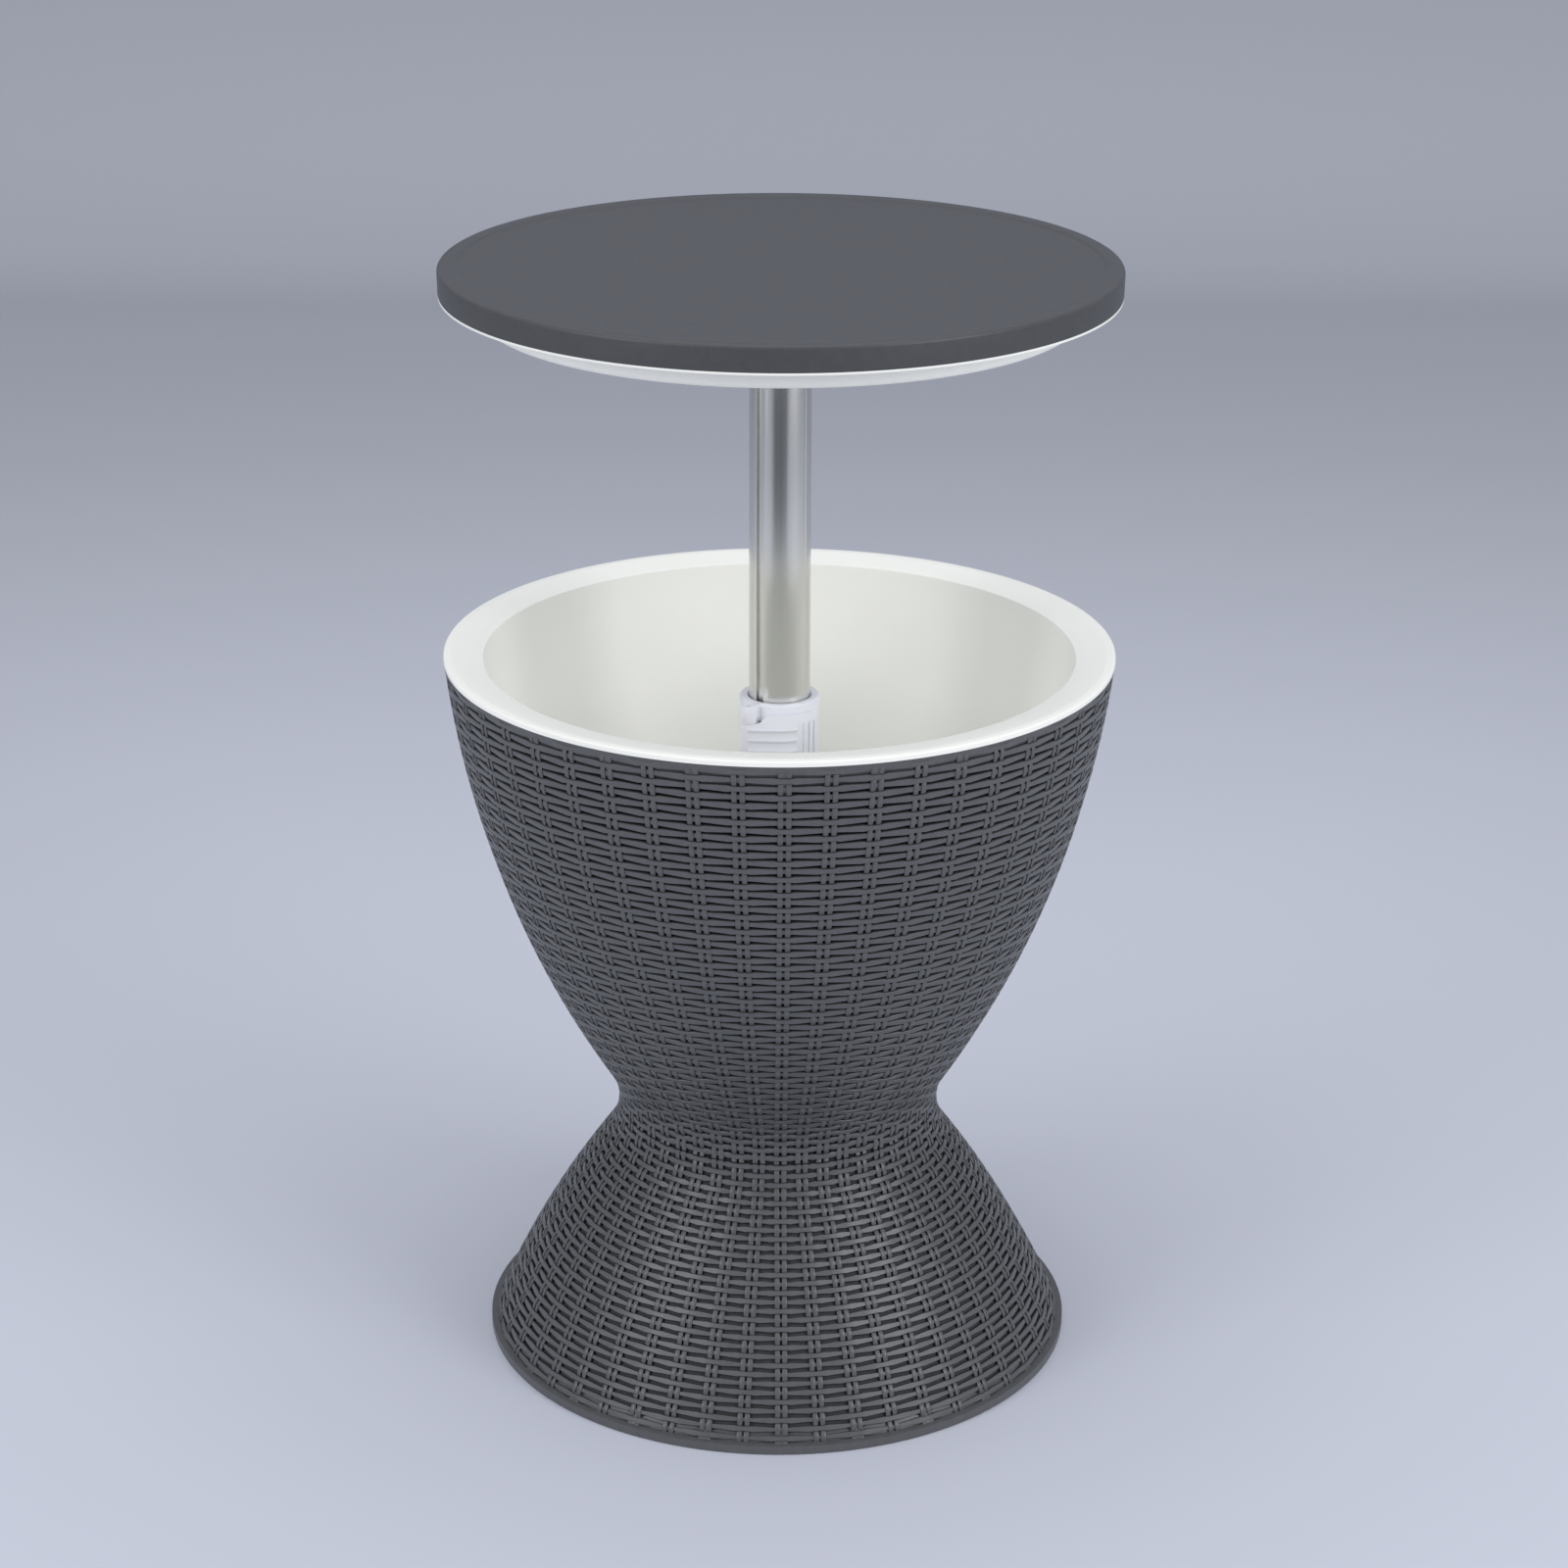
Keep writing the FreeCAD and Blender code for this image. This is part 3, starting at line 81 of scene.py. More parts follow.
def blank_material(name):
    """A new material with its nodes, its links and its shader."""
    material = bpy.data.materials.new(name)
    material.use_nodes = True
    tree = material.node_tree
    return material, tree.nodes, tree.links, tree.nodes["Principled BSDF"]


def studio_material():
    """Matt paper with a painted pool of light: a little darker away from the table."""
    material, nodes, links, shader = blank_material("studio_paper")
    shader.inputs["Roughness"].default_value = 0.75
    shader.inputs["Specular IOR Level"].default_value = 0.2
    place = nodes.new("ShaderNodeTexCoord")
    reach = nodes.new("ShaderNodeVectorMath")
    reach.operation = "LENGTH"
    fade = nodes.new("ShaderNodeMapRange")
    fade.interpolation_type = "SMOOTHSTEP"
    fade.inputs["From Min"].default_value = floor_fade_near
    fade.inputs["From Max"].default_value = floor_fade_far
    tone = nodes.new("ShaderNodeValToRGB")
    tone.color_ramp.elements[0].color = floor_near
    tone.color_ramp.elements[1].color = floor_far
    links.new(place.outputs["Object"], reach.inputs[0])
    links.new(reach.outputs["Value"], fade.inputs["Value"])
    links.new(fade.outputs["Result"], tone.inputs["Fac"])
    links.new(tone.outputs["Color"], shader.inputs["Base Color"])
    return material


bpy.ops.mesh.primitive_grid_add(x_subdivisions=1, y_subdivisions=cove_steps + 3, size=1)
studio = bpy.context.object
studio.name = "studio_floor"
cove = [(floor_front, 0.0), (floor_back, 0.0)]
for step in range(1, cove_steps + 1):
    turned_by = math.pi / 2 * step / cove_steps
    cove.append((floor_back + cove_radius * math.sin(turned_by),
                 cove_radius * (1 - math.cos(turned_by))))
cove.append((floor_back + cove_radius, backdrop_height))
cove.insert(1, (floor_front / 2, 0.0))
grid_rows = sorted({round(vertex.co.y, 5) for vertex in studio.data.vertices})
for vertex in studio.data.vertices:
    y, z = cove[grid_rows.index(round(vertex.co.y, 5))]
    vertex.co = (math.copysign(floor_half_width, vertex.co.x), y, z)
bpy.ops.object.shade_smooth()
studio.data.materials.append(studio_material())

# The light is soft: a wide panel above, one on each side in front, and an even fill from all
# round. The room that shows past the paper's edges, and in what shines, has the backdrop's tone.
panels = {
    "panel_above": ((0.0, 0.2, 2.9), (0, 0, 0), (2.8, 2.8), 21),
    "panel_left": ((-2.7, -1.9, 2.0), (62, 0, -55), (1.6, 1.6), 36),
    "panel_right": ((2.7, -1.9, 2.0), (62, 0, 55), (1.6, 1.6), 46),
}
for panel_name, (place, turned_to, size, watts) in panels.items():
    bpy.ops.object.light_add(type="AREA", location=place)
    panel = bpy.context.object
    panel.name = panel_name
    panel.rotation_euler = [math.radians(angle) for angle in turned_to]
    panel.data.shape = "RECTANGLE"
    panel.data.size = size[0]
    panel.data.size_y = size[1]
    panel.data.energy = watts

fill_colour = (0.93, 0.95, 1.0, 1)
fill_strength = 0.80
room_colour = (0.34, 0.36, 0.41, 1)
world = bpy.data.worlds.new("studio_fill")
world.use_nodes = True
nodes = world.node_tree.nodes
links = world.node_tree.links
fill = nodes["Background"]
fill.inputs["Color"].default_value = fill_colour
fill.inputs["Strength"].default_value = fill_strength
room = nodes.new("ShaderNodeBackground")
room.inputs["Color"].default_value = room_colour
ray = nodes.new("ShaderNodeLightPath")
seen = nodes.new("ShaderNodeMath")
seen.operation = "MAXIMUM"
choice = nodes.new("ShaderNodeMixShader")
links.new(ray.outputs["Is Camera Ray"], seen.inputs[0])
links.new(ray.outputs["Is Glossy Ray"], seen.inputs[1])
links.new(seen.outputs[0], choice.inputs["Fac"])
links.new(fill.outputs[0], choice.inputs[1])
links.new(room.outputs[0], choice.inputs[2])
links.new(choice.outputs[0], nodes["World Output"].inputs["Surface"])
bpy.context.scene.world = world
bpy.context.scene.view_settings.view_transform = "Standard"

# A dark card stands below the camera. It shows only in what shines, and gives the mast the dark
# core of its reflection.
card_width = 2.3
card_height = 1.0
card_foot = 0.01
card_front = -2.3
card_colour = (0.09, 0.095, 0.10, 1)
bpy.ops.mesh.primitive_grid_add(x_subdivisions=1, y_subdivisions=1, size=1)
card = bpy.context.object
card.name = "dark_card"
for vertex in card.data.vertices:
    vertex.co = (vertex.co.x * card_width, card_front,
                 card_foot + (vertex.co.y + 0.5) * card_height)
card_paper, _, _, card_shader = blank_material("card_paper")
card_shader.inputs["Base Color"].default_value = card_colour
card.data.materials.append(card_paper)
card.visible_camera = False
card.visible_diffuse = False
card.visible_shadow = False

# The barrel and the base are two thin shells of graphite plastic, moulded with a relief of woven
# cane. Each shell's wall is the ground of that relief: the imported shell, with its outer
# face drawn in to the bottom of the weave, and its bands, ribs and bosses as they are.
# The ground of the weave and the deep sides of its strands and rods carry painted shade.
neck_radius = 0.12275
neck_height = 0.1897
waist_bend = 0.0545
barrel_flare = math.radians(32.65)
foot_flare = math.radians(36.59)
foot_edge = (0.2237, 0.0)
rim_edge = (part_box("ice_bowl")[1].x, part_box("barrel_shell")[1].z)
seam_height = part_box("barrel_shell")[0].z
weave_depth = 0.0037
top_band = 0.0042
foot_band = 0.007
wall_samples = 2000


def flank(start, slope, far):
    """The long arc of a wall: its radius and centre, from a tangent point to a far point."""
    way = 1 if far[1] > start[1] else -1
    out = far[0] - start[0]
    along = (far[1] - start[1]) * way
    inside = along * math.sin(slope) - out * math.cos(slope)
    radius = (out * out + along * along) / (2 * inside)
    return radius, start[0] - radius * math.cos(slope), start[1] + way * radius * math.sin(slope)


def waist_end(slope, way):
    """Where the waist's small bend runs into a long arc."""
    return (neck_radius + waist_bend - waist_bend * math.cos(slope),
            neck_height + way * waist_bend * math.sin(slope))


foot_start = waist_end(foot_flare, -1)
barrel_start = waist_end(barrel_flare, 1)
foot_arc, foot_x, foot_z = flank(foot_start, foot_flare, foot_edge)
barrel_arc, barrel_x, barrel_z = flank(barrel_start, barrel_flare, rim_edge)
foot_angle = math.asin(-foot_z / foot_arc)
foot_length = foot_arc * (foot_flare - foot_angle)
waist_length = waist_bend * (foot_flare + barrel_flare)
barrel_angle = math.asin((rim_edge[1] - barrel_z) / barrel_arc)
wall_length = foot_length + waist_length + barrel_arc * (barrel_flare + barrel_angle)
seam_along = foot_length + waist_bend * (foot_flare - math.asin(
    (neck_height - seam_height) / waist_bend))


def on_wall(along, depth):
    """Radius and height of places on the hourglass wall: how far up it, and how deep in it."""
    low = foot_angle + along / foot_arc
    middle = math.pi + foot_flare - (along - foot_length) / waist_bend
    high = -barrel_flare + (along - foot_length - waist_length) / barrel_arc
    radius = np.select(
        [along < foot_length, along < foot_length + waist_length],
        [foot_x + (foot_arc - depth) * np.cos(low),
         neck_radius + waist_bend + (waist_bend + depth) * np.cos(middle)],
        barrel_x + (barrel_arc - depth) * np.cos(high))
    height = np.select(
        [along < foot_length, along < foot_length + waist_length],
        [foot_z + (foot_arc - depth) * np.sin(low),
         neck_height + (waist_bend + depth) * np.sin(middle)],
        barrel_z + (barrel_arc - depth) * np.sin(high))
    return radius, height


def mottled(nodes, links, place, scale, detail):
    """Noise in the object's own coordinates."""
    noise = nodes.new("ShaderNodeTexNoise")
    noise.inputs["Scale"].default_value = scale
    noise.inputs["Detail"].default_value = detail
    links.new(place, noise.inputs["Vector"])
    return noise.outputs["Fac"]


def two_tones(nodes, links, noise, deep, deep_until, pale, pale_from):
    """A colour that goes from a deep tone to a pale one with the noise."""
    tone = nodes.new("ShaderNodeValToRGB")
    tone.color_ramp.elements[0].position = deep_until
    tone.color_ramp.elements[0].color = deep
    tone.color_ramp.elements[1].position = pale_from
    tone.color_ramp.elements[1].color = pale
    links.new(noise, tone.inputs["Fac"])
    return tone.outputs["Color"]


def vary_gloss(nodes, links, noise, shader, low, high):
    """Lets the shader's roughness follow the noise between two values."""
    gloss = nodes.new("ShaderNodeMapRange")
    gloss.inputs["To Min"].default_value = low
    gloss.inputs["To Max"].default_value = high
    links.new(noise, gloss.inputs["Value"])
    links.new(gloss.outputs["Result"], shader.inputs["Roughness"])


def add_relief(nodes, links, noise, shader, strength, distance):
    """Very fine bumps that follow the noise."""
    relief = nodes.new("ShaderNodeBump")
    relief.inputs["Strength"].default_value = strength
    relief.inputs["Distance"].default_value = distance
    links.new(noise, relief.inputs["Height"])
    links.new(relief.outputs["Normal"], shader.inputs["Normal"])


def graphite_plastic(name, pale, deep, gloss_low, gloss_high, shine, paints_shade=False):
    """Satin graphite plastic with a fine moulded grain. One that paints shade is matt, and its
    recess attribute paints the deep sides and the ground of the weave darker, as shade."""
    material, nodes, links, shader = blank_material(name)
    shader.inputs["Specular IOR Level"].default_value = shine
    place = nodes.new("ShaderNodeTexCoord").outputs["Object"]
    cloud = mottled(nodes, links, place, scale=160, detail=5)
    tone = two_tones(nodes, links, cloud, deep, 0.3, pale, 0.7)
    links.new(tone, shader.inputs["Base Color"])
    if paints_shade:
        # Painted shade: the base colour is mixed towards near black by the recess attribute.
        recess = nodes.new("ShaderNodeAttribute")
        recess.attribute_name = "recess"
        shade = nodes.new("ShaderNodeMixRGB")
        shade.inputs["Color2"].default_value = painted_shade_colour
        links.new(recess.outputs["Fac"], shade.inputs["Fac"])
        links.new(tone, shade.inputs["Color1"])
        links.new(shade.outputs["Color"], shader.inputs["Base Color"])
    grain = mottled(nodes, links, place, scale=900, detail=3)
    vary_gloss(nodes, links, grain, shader, gloss_low, gloss_high)
    add_relief(nodes, links, grain, shader, strength=0.12, distance=0.0002)
    return material


graphite_pale = (0.092, 0.094, 0.100, 1)
graphite_deep = (0.080, 0.082, 0.087, 1)
# Near black, painted into the weave's recesses as shade.
painted_shade_colour = (0.002, 0.002, 0.0025, 1)
graphite = graphite_plastic("graphite_plastic", graphite_pale, graphite_deep, 0.34, 0.46, 0.6)
# Matt graphite with painted shade, for the ground and the deep sides of the weave.
sunken_graphite = graphite_plastic("sunken_graphite", graphite_pale, graphite_deep, 0.8, 0.9,
                                   0.1, paints_shade=True)


def merged_copy(node, name):
    """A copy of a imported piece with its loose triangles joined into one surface."""
    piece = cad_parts[node].copy()
    piece.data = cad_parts[node].data.copy()
    piece.name = name
    piece.parent = None
    piece.hide_render = False
    for key in list(piece.keys()):
        del piece[key]
    bpy.context.scene.collection.objects.link(piece)
    bpy.ops.object.select_all(action="DESELECT")
    bpy.context.view_layer.objects.active = piece
    piece.select_set(True)
    piece.data.materials.clear()
    bpy.ops.object.mode_set(mode="EDIT")
    bpy.ops.mesh.select_all(action="SELECT")
    bpy.ops.mesh.customdata_custom_splitnormals_clear()
    bpy.ops.mesh.remove_doubles(threshold=0.000005)
    bpy.ops.object.mode_set(mode="OBJECT")
    return piece


def paint_recess_shade(piece, least):
    """Gives the graphite with painted shade to the faces that lie wholly or partly in the recess."""
    depths = np.empty(len(piece.data.vertices), np.float32)
    piece.data.attributes["recess"].data.foreach_get("value", depths)
    piece.data.materials.append(graphite)
    piece.data.materials.append(sunken_graphite)
    for face in piece.data.polygons:
        face.material_index = int(depths[list(face.vertices)].sum() > least * len(face.vertices))


def draw_in(piece, lowest, highest, painted_darkness):
    """Moves the outer face of a shell's wall in to the ground of the weave, and paints shade on that
    ground.
    """
    places = np.empty(len(piece.data.vertices) * 3, np.float32)
    piece.data.vertices.foreach_get("co", places)
    places = places.reshape(-1, 3)
    radius = np.hypot(places[:, 0], places[:, 1])
    height = places[:, 2]
    steps = np.linspace(0, wall_length, wall_samples)
    ground, ground_height = on_wall(steps, weave_depth)
    face = np.interp(height, ground_height, ground)
    woven = (radius > face) & (height > lowest) & (height < highest)
    share = np.where(woven, face / radius, 1)
    places[:, 0] *= share
    places[:, 1] *= share
    piece.data.vertices.foreach_set("co", places.ravel())
    # The ground of the weave is painted darker, as shade.
    recess = piece.data.attributes.new("recess", "FLOAT", "POINT")
    recess.data.foreach_set("value", np.where(woven, painted_darkness, 0).astype(np.float32))
    bpy.ops.object.mode_set(mode="EDIT")
    bpy.ops.mesh.select_all(action="SELECT")
    bpy.ops.mesh.remove_doubles(threshold=0.00002)
    bpy.ops.mesh.dissolve_degenerate(threshold=0.00001)
    bpy.ops.object.mode_set(mode="OBJECT")


seam_overlap = 0.001
band_gap = 0.00005
foot_gap = 0.0001
# The last number is how dark the ground of the weave is painted, as shade: deep on the barrel,
# lighter on the base.
for node, name, lowest, highest, painted_darkness in (
        ("barrel_shell", "barrel_wall", seam_height - seam_overlap,
         rim_edge[1] - top_band - band_gap, 0.9),
        ("base_shell", "base_wall", foot_band + foot_gap, seam_height + seam_overlap, 0.35)):
    wall = merged_copy(node, name)
    draw_in(wall, lowest, highest, painted_darkness)
    bpy.ops.object.shade_smooth_by_angle(angle=math.radians(30))
    paint_recess_shade(wall, painted_darkness * 0.99)
    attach(wall, "housing")
    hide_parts(node)

# The weave on both shells: single strands run round the table and pass over one pair of
# upright stakes and under the next. Each strand is thick beside the pair that it crosses, thin
# where it dives, and narrower on the crossing itself.
pair_count = 48
pair_pitch = 2 * math.pi / pair_count
front_pair = math.radians(-89)
waves = pair_count // 2
strand_knots = 10
# Across a strand: share of its width, and depth below its top. None is the root in the ground.
strand_section = ((-0.5, None), (-0.495, 0.0006), (-0.41, 0.0001), (0.41, 0.0001),
                  (0.495, 0.0006), (0.5, None))
strand_dive = 0.0012
root_depth = weave_depth + 0.0002
flat_share = 0.8
shoulder = 0.0006
swell = 0.0028
taper = 0.0008


def tiled_sheet(name, tile, across, up, joined_up):
    """A flat sheet of like tiles, one unit to a face, to be wrapped on to the wall later."""
    bpy.ops.object.select_all(action="DESELECT")
    bpy.ops.mesh.primitive_grid_add(x_subdivisions=tile[0], y_subdivisions=tile[1], size=1)
    sheet = bpy.context.object
    sheet.name = name
    sheet.data.transform(Matrix.Diagonal((*tile, 1, 1)) @ Matrix.Translation((0.5, 0.5, 0)))
    for axis, count, joined in ((0, across, not joined_up), (1, up, joined_up)):
        repeat = sheet.modifiers.new(f"repeat_{axis}", "ARRAY")
        repeat.count = count
        repeat.use_relative_offset = False
        repeat.use_constant_offset = True
        step = [0, 0, 0]
        step[axis] = tile[axis] if joined else tile[axis] + 1
        repeat.constant_offset_displace = step
        repeat.use_merge_vertices = joined
        repeat.merge_threshold = 0.01
        bpy.ops.object.modifier_apply(modifier=repeat.name)
    return sheet


def flat_places(sheet):
    """The whole-number place of each point in a flat sheet."""
    places = np.empty(len(sheet.data.vertices) * 3, np.float32)
    sheet.data.vertices.foreach_get("co", places)
    flat = np.rint(places.reshape(-1, 3)[:, :2]).astype(int)
    return flat[:, 0], flat[:, 1]


def wrap(sheet, angle, radius, height, depth):
    """Puts a flat sheet's points on the wall and closes its seams."""
    # The deep sides of strands and rods are painted darker towards their roots, as shade.
    recess = sheet.data.attributes.new("recess", "FLOAT", "POINT")
    recess.data.foreach_set("value", np.where(depth == root_depth, 1, 0.4).astype(np.float32))
    places = np.stack([radius * np.cos(angle), radius * np.sin(angle), height], axis=1)
    sheet.data.vertices.foreach_set("co", places.astype(np.float32).ravel())
    sheet.data.update()
    bpy.context.view_layer.objects.active = sheet
    bpy.ops.object.mode_set(mode="EDIT")
    bpy.ops.mesh.select_all(action="SELECT")
    bpy.ops.mesh.remove_doubles(threshold=0.000002)
    bpy.ops.mesh.fill_holes(sides=8)
    bpy.ops.mesh.normals_make_consistent(inside=False)
    bpy.ops.object.mode_set(mode="OBJECT")
    bpy.ops.object.shade_smooth_by_angle(angle=math.radians(50))
    paint_recess_shade(sheet, 0.65)
    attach(sheet, "housing")


def strands(name, rows, over_front, pair_half, thick, thin, over):
    """Rings of strand, each at its row up the wall. over_front tells which cross the pair in
    front; the others cross its neighbours."""
    faces = len(strand_section)
    sheet = tiled_sheet(name, (strand_knots, faces), waves, len(rows), joined_up=False)
    x, y = flat_places(sheet)
    wave, knot = np.divmod(x, strand_knots)
    ring, corner = np.divmod(y, faces + 1)
    corner = corner % faces
    along = np.array(rows)[ring]
    reach = on_wall(along, 0)[0] * pair_pitch
    zero = np.zeros(len(x))
    stops = np.stack([zero, zero + pair_half * flat_share, zero + pair_half + shoulder,
                      zero + pair_half + swell, reach - pair_half - taper, reach])
    widths = np.array([over, over, (over + thick) / 2, thick, thin, thin])
    back = knot > strand_knots // 2
    stop = np.where(back, strand_knots - knot, knot)
    gone = stops[stop, np.arange(len(x))]
    width = widths[stop]
    dive = strand_dive * (1 - np.cos(math.pi * gone / reach)) / 2
    gone = np.where(back, 2 * reach - gone, gone)
    way_round = wave * 2 * pair_pitch + gone / reach * pair_pitch
    start = np.where(np.array(over_front)[ring], 0, pair_pitch)
    across = np.array([point[0] for point in strand_section])[corner]
    drops = np.array([root_depth if point[1] is None else point[1] for point in strand_section])
    drop = drops[corner]
    depth = np.where(drop == root_depth, root_depth, dive + drop)
    radius, height = on_wall(along + across * width, depth)
    wrap(sheet, front_pair + start + way_round, radius, height, depth)


# A rod's section is given as a strand's. Up one row, the stops are shares of the row's pitch, with
# how far the rod dips there and what share of its width it keeps.
stake_section = ((-0.5, None), (-0.48, 0.0006), (0.0, 0.0), (0.48, 0.0006), (0.5, None))
stake_stops = (0.0, 0.15, 0.21, 0.5, 0.79, 0.85)
stake_dips = (0.0014, 0.0012, 0.0004, 0.0001, 0.0004, 0.0012)
stake_widths = (0.94, 0.94, 0.98, 1.0, 0.98, 0.94)


def stakes(name, top_row, pitch, lowest, highest, spread, width):
    """Pairs of upright rods. A pair dips under a strand at every other row."""
    faces = len(stake_section)
    stops = len(stake_stops)
    periods = math.ceil((highest - lowest) / pitch) + 2
    sheet = tiled_sheet(name, (faces, stops), 2 * pair_count, periods, joined_up=True)
    x, y = flat_places(sheet)
    rod, corner = np.divmod(x, faces + 1)
    corner = corner % faces
    pair, side = np.divmod(rod, 2)
    period, stop = np.divmod(y, stops)
    shift = np.where(pair % 2 == 0, 0.0, pitch / 2)
    along = top_row + shift + pitch - (period + np.array(stake_stops)[stop]) * pitch
    along = np.clip(along, lowest, highest)
    across = np.array([point[0] for point in stake_section])[corner]
    wide = width * np.array(stake_widths)[stop]
    drops = np.array([root_depth if point[1] is None else point[1] for point in stake_section])
    drop = drops[corner]
    depth = np.where(drop == root_depth, root_depth, np.array(stake_dips)[stop] + drop)
    aside = (side - 0.5) * spread + across * wide
    angle = front_pair + pair * pair_pitch + aside / on_wall(along, 0)[0]
    radius, height = on_wall(along, depth)
    wrap(sheet, angle, radius, height, depth)


seam_gap = 0.0003
barrel_row_pitch = 0.01323
barrel_top_row = 0.5883
barrel_rows = 29
rows = [barrel_top_row - barrel_row_pitch * row for row in range(barrel_rows)]
rows_between = [row + barrel_row_pitch / 2 for row in rows]
strands("barrel_strands", rows + rows_between, [True] * len(rows) + [False] * len(rows_between),
        pair_half=0.0049, thick=0.0051, thin=0.0040, over=0.0037)
stakes("barrel_stakes", barrel_top_row, barrel_row_pitch, seam_along + seam_gap,
       wall_length - top_band, spread=0.0058, width=0.0039)

base_row_pitch = 0.01328
base_top_row = 0.2106
base_rows = 16
base_stake_foot = 0.0062
rows = [base_top_row - base_row_pitch * row for row in range(base_rows)]
rows_between = [row - base_row_pitch / 2 for row in rows]
strands("base_strands", rows + rows_between, [True] * len(rows) + [False] * len(rows_between),
        pair_half=0.0046, thick=0.0046, thin=0.0031, over=0.0036)
stakes("base_stakes", base_top_row, base_row_pitch, base_stake_foot, seam_along - seam_gap,
       spread=0.0054, width=0.0038)

# The ice bowl is one white moulding. Its rim sits on the barrel with a ring that drops inside,
# its floor has a raised boss for the column, and the drain goes through the floor behind it.
bowl_floor = 0.283
boss_top = 0.289
boss_radius = 0.050
column_hole = 0.0273
bowl_wall = 0.003
bowl_corner = 0.040
bowl_slope = math.radians(27.4)
rim_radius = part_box("ice_bowl")[1].x
rim_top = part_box("ice_bowl")[1].z
mouth_radius = rim_radius - 0.02905
mouth_height = rim_top - 0.0039
bowl_foot = neck_radius + 0.02825
ring_radius = rim_radius - 0.0062
ring_drop = 0.010
rim_lap = 0.0012
drain_offset = 0.095
drain_hole = 0.0123


def arc_points(centre, radius, start, stop, steps):
    """Points along an arc, from one angle to another."""
    return [(centre[0] + radius * math.cos(start + (stop - start) * step / steps),
             centre[1] + radius * math.sin(start + (stop - start) * step / steps))
            for step in range(steps + 1)]


def rounded(corners, steps=4):
    """An outline with its corners rounded: a corner is (radius, height) or also a rounding."""
    outline = []
    for number, corner in enumerate(corners):
        if len(corner) == 2:
            outline.append(corner)
            continue
        here = np.array(corner[:2])
        before = np.array(corners[number - 1][:2]) - here
        after = np.array(corners[(number + 1) % len(corners)][:2]) - here
        before /= np.linalg.norm(before)
        after /= np.linalg.norm(after)
        half = math.acos(np.clip(before @ after, -1, 1)) / 2
        reach = corner[2] / math.tan(half)
        middle = here + (before + after) / np.linalg.norm(before + after) * (
            corner[2] / math.sin(half))
        first = here + before * reach - middle
        last = here + after * reach - middle
        for step in range(steps + 1):
            share = step / steps
            way = first * (1 - share) + last * share
            spot = middle + way / np.linalg.norm(way) * corner[2]
            outline.append((float(spot[0]), float(spot[1])))
    return outline


def turned(name, outline, steps=160):
    """A solid of revolution about the mast from a closed half outline."""
    bpy.ops.object.select_all(action="DESELECT")
    bpy.ops.mesh.primitive_circle_add(vertices=len(outline), radius=1)
    piece = bpy.context.object
    piece.name = name
    for vertex, (radius, height) in zip(piece.data.vertices, outline):
        vertex.co = (radius, 0, height)
    bpy.ops.object.mode_set(mode="EDIT")
    bpy.ops.mesh.select_all(action="SELECT")
    bpy.ops.mesh.spin(steps=steps, angle=2 * math.pi, center=(0, 0, 0), axis=(0, 0, 1))
    bpy.ops.mesh.select_all(action="SELECT")
    bpy.ops.mesh.remove_doubles(threshold=0.000005)
    bpy.ops.mesh.normals_make_consistent(inside=False)
    bpy.ops.object.mode_set(mode="OBJECT")
    bpy.ops.object.shade_smooth_by_angle(angle=math.radians(35))
    return piece


def moulded_plastic(name, pale, deep, gloss_low, gloss_high):
    """Plain moulded plastic: faint clouding in its tone, and a gloss that varies a little."""
    material, nodes, links, shader = blank_material(name)
    shader.inputs["Specular IOR Level"].default_value = 0.3
    place = nodes.new("ShaderNodeTexCoord").outputs["Object"]
    cloud = mottled(nodes, links, place, scale=7, detail=3)
    tone = two_tones(nodes, links, cloud, deep, 0.3, pale, 0.7)
    links.new(tone, shader.inputs["Base Color"])
    vary_gloss(nodes, links, cloud, shader, gloss_low, gloss_high)
    return material


white_plastic = moulded_plastic("white_plastic", (0.89, 0.89, 0.845, 1),
                                (0.87, 0.87, 0.825, 1), 0.42, 0.50)

wall_foot = (bowl_foot, bowl_floor + bowl_corner * (1 - math.sin(bowl_slope)))
bowl_arc, bowl_x, bowl_z = flank(wall_foot, bowl_slope, (mouth_radius, mouth_height))
corner_centre = (bowl_foot - bowl_corner * math.cos(bowl_slope), bowl_floor + bowl_corner)
under_rim = mouth_height - bowl_wall
lip = mouth_height - rim_lap
low_angle = -bowl_slope
inner_top = math.asin((lip - bowl_z) / bowl_arc)
outer_top = math.asin((under_rim - bowl_z) / (bowl_arc + bowl_wall))
outside = arc_points(corner_centre, bowl_corner + bowl_wall, -math.pi / 2, low_angle, steps=10)
outside += arc_points((bowl_x, bowl_z), bowl_arc + bowl_wall, low_angle, outer_top, steps=14)[1:]
inside = arc_points((bowl_x, bowl_z), bowl_arc, inner_top, low_angle, steps=20)
inside += arc_points(corner_centre, bowl_corner, low_angle, -math.pi / 2, steps=12)[1:]
ring_bottom = rim_edge[1] - ring_drop
bowl_outline = rounded([
    (column_hole, boss_top),
    (column_hole, boss_top - bowl_wall),
    (boss_radius - bowl_wall, boss_top - bowl_wall),
    (boss_radius - bowl_wall, bowl_floor - bowl_wall),
    *outside,
    (ring_radius - bowl_wall, rim_edge[1]),
    (ring_radius - bowl_wall, ring_bottom),
    (ring_radius, ring_bottom),
    (ring_radius, rim_edge[1]),
    (rim_radius, rim_edge[1]),
    (rim_radius, rim_top, 0.0012),
    (ring_radius, rim_top, 0.0030),
    (mouth_radius, mouth_height, 0.0007),
    *inside,
    (boss_radius, bowl_floor),
    (boss_radius, boss_top, 0.0015),
])
bowl = turned("bowl_moulding", bowl_outline, steps=192)
bpy.ops.mesh.primitive_cylinder_add(vertices=48, radius=drain_hole, depth=4 * bowl_wall,
                                    location=(0, drain_offset, bowl_floor - bowl_wall / 2))
drill = bpy.context.object
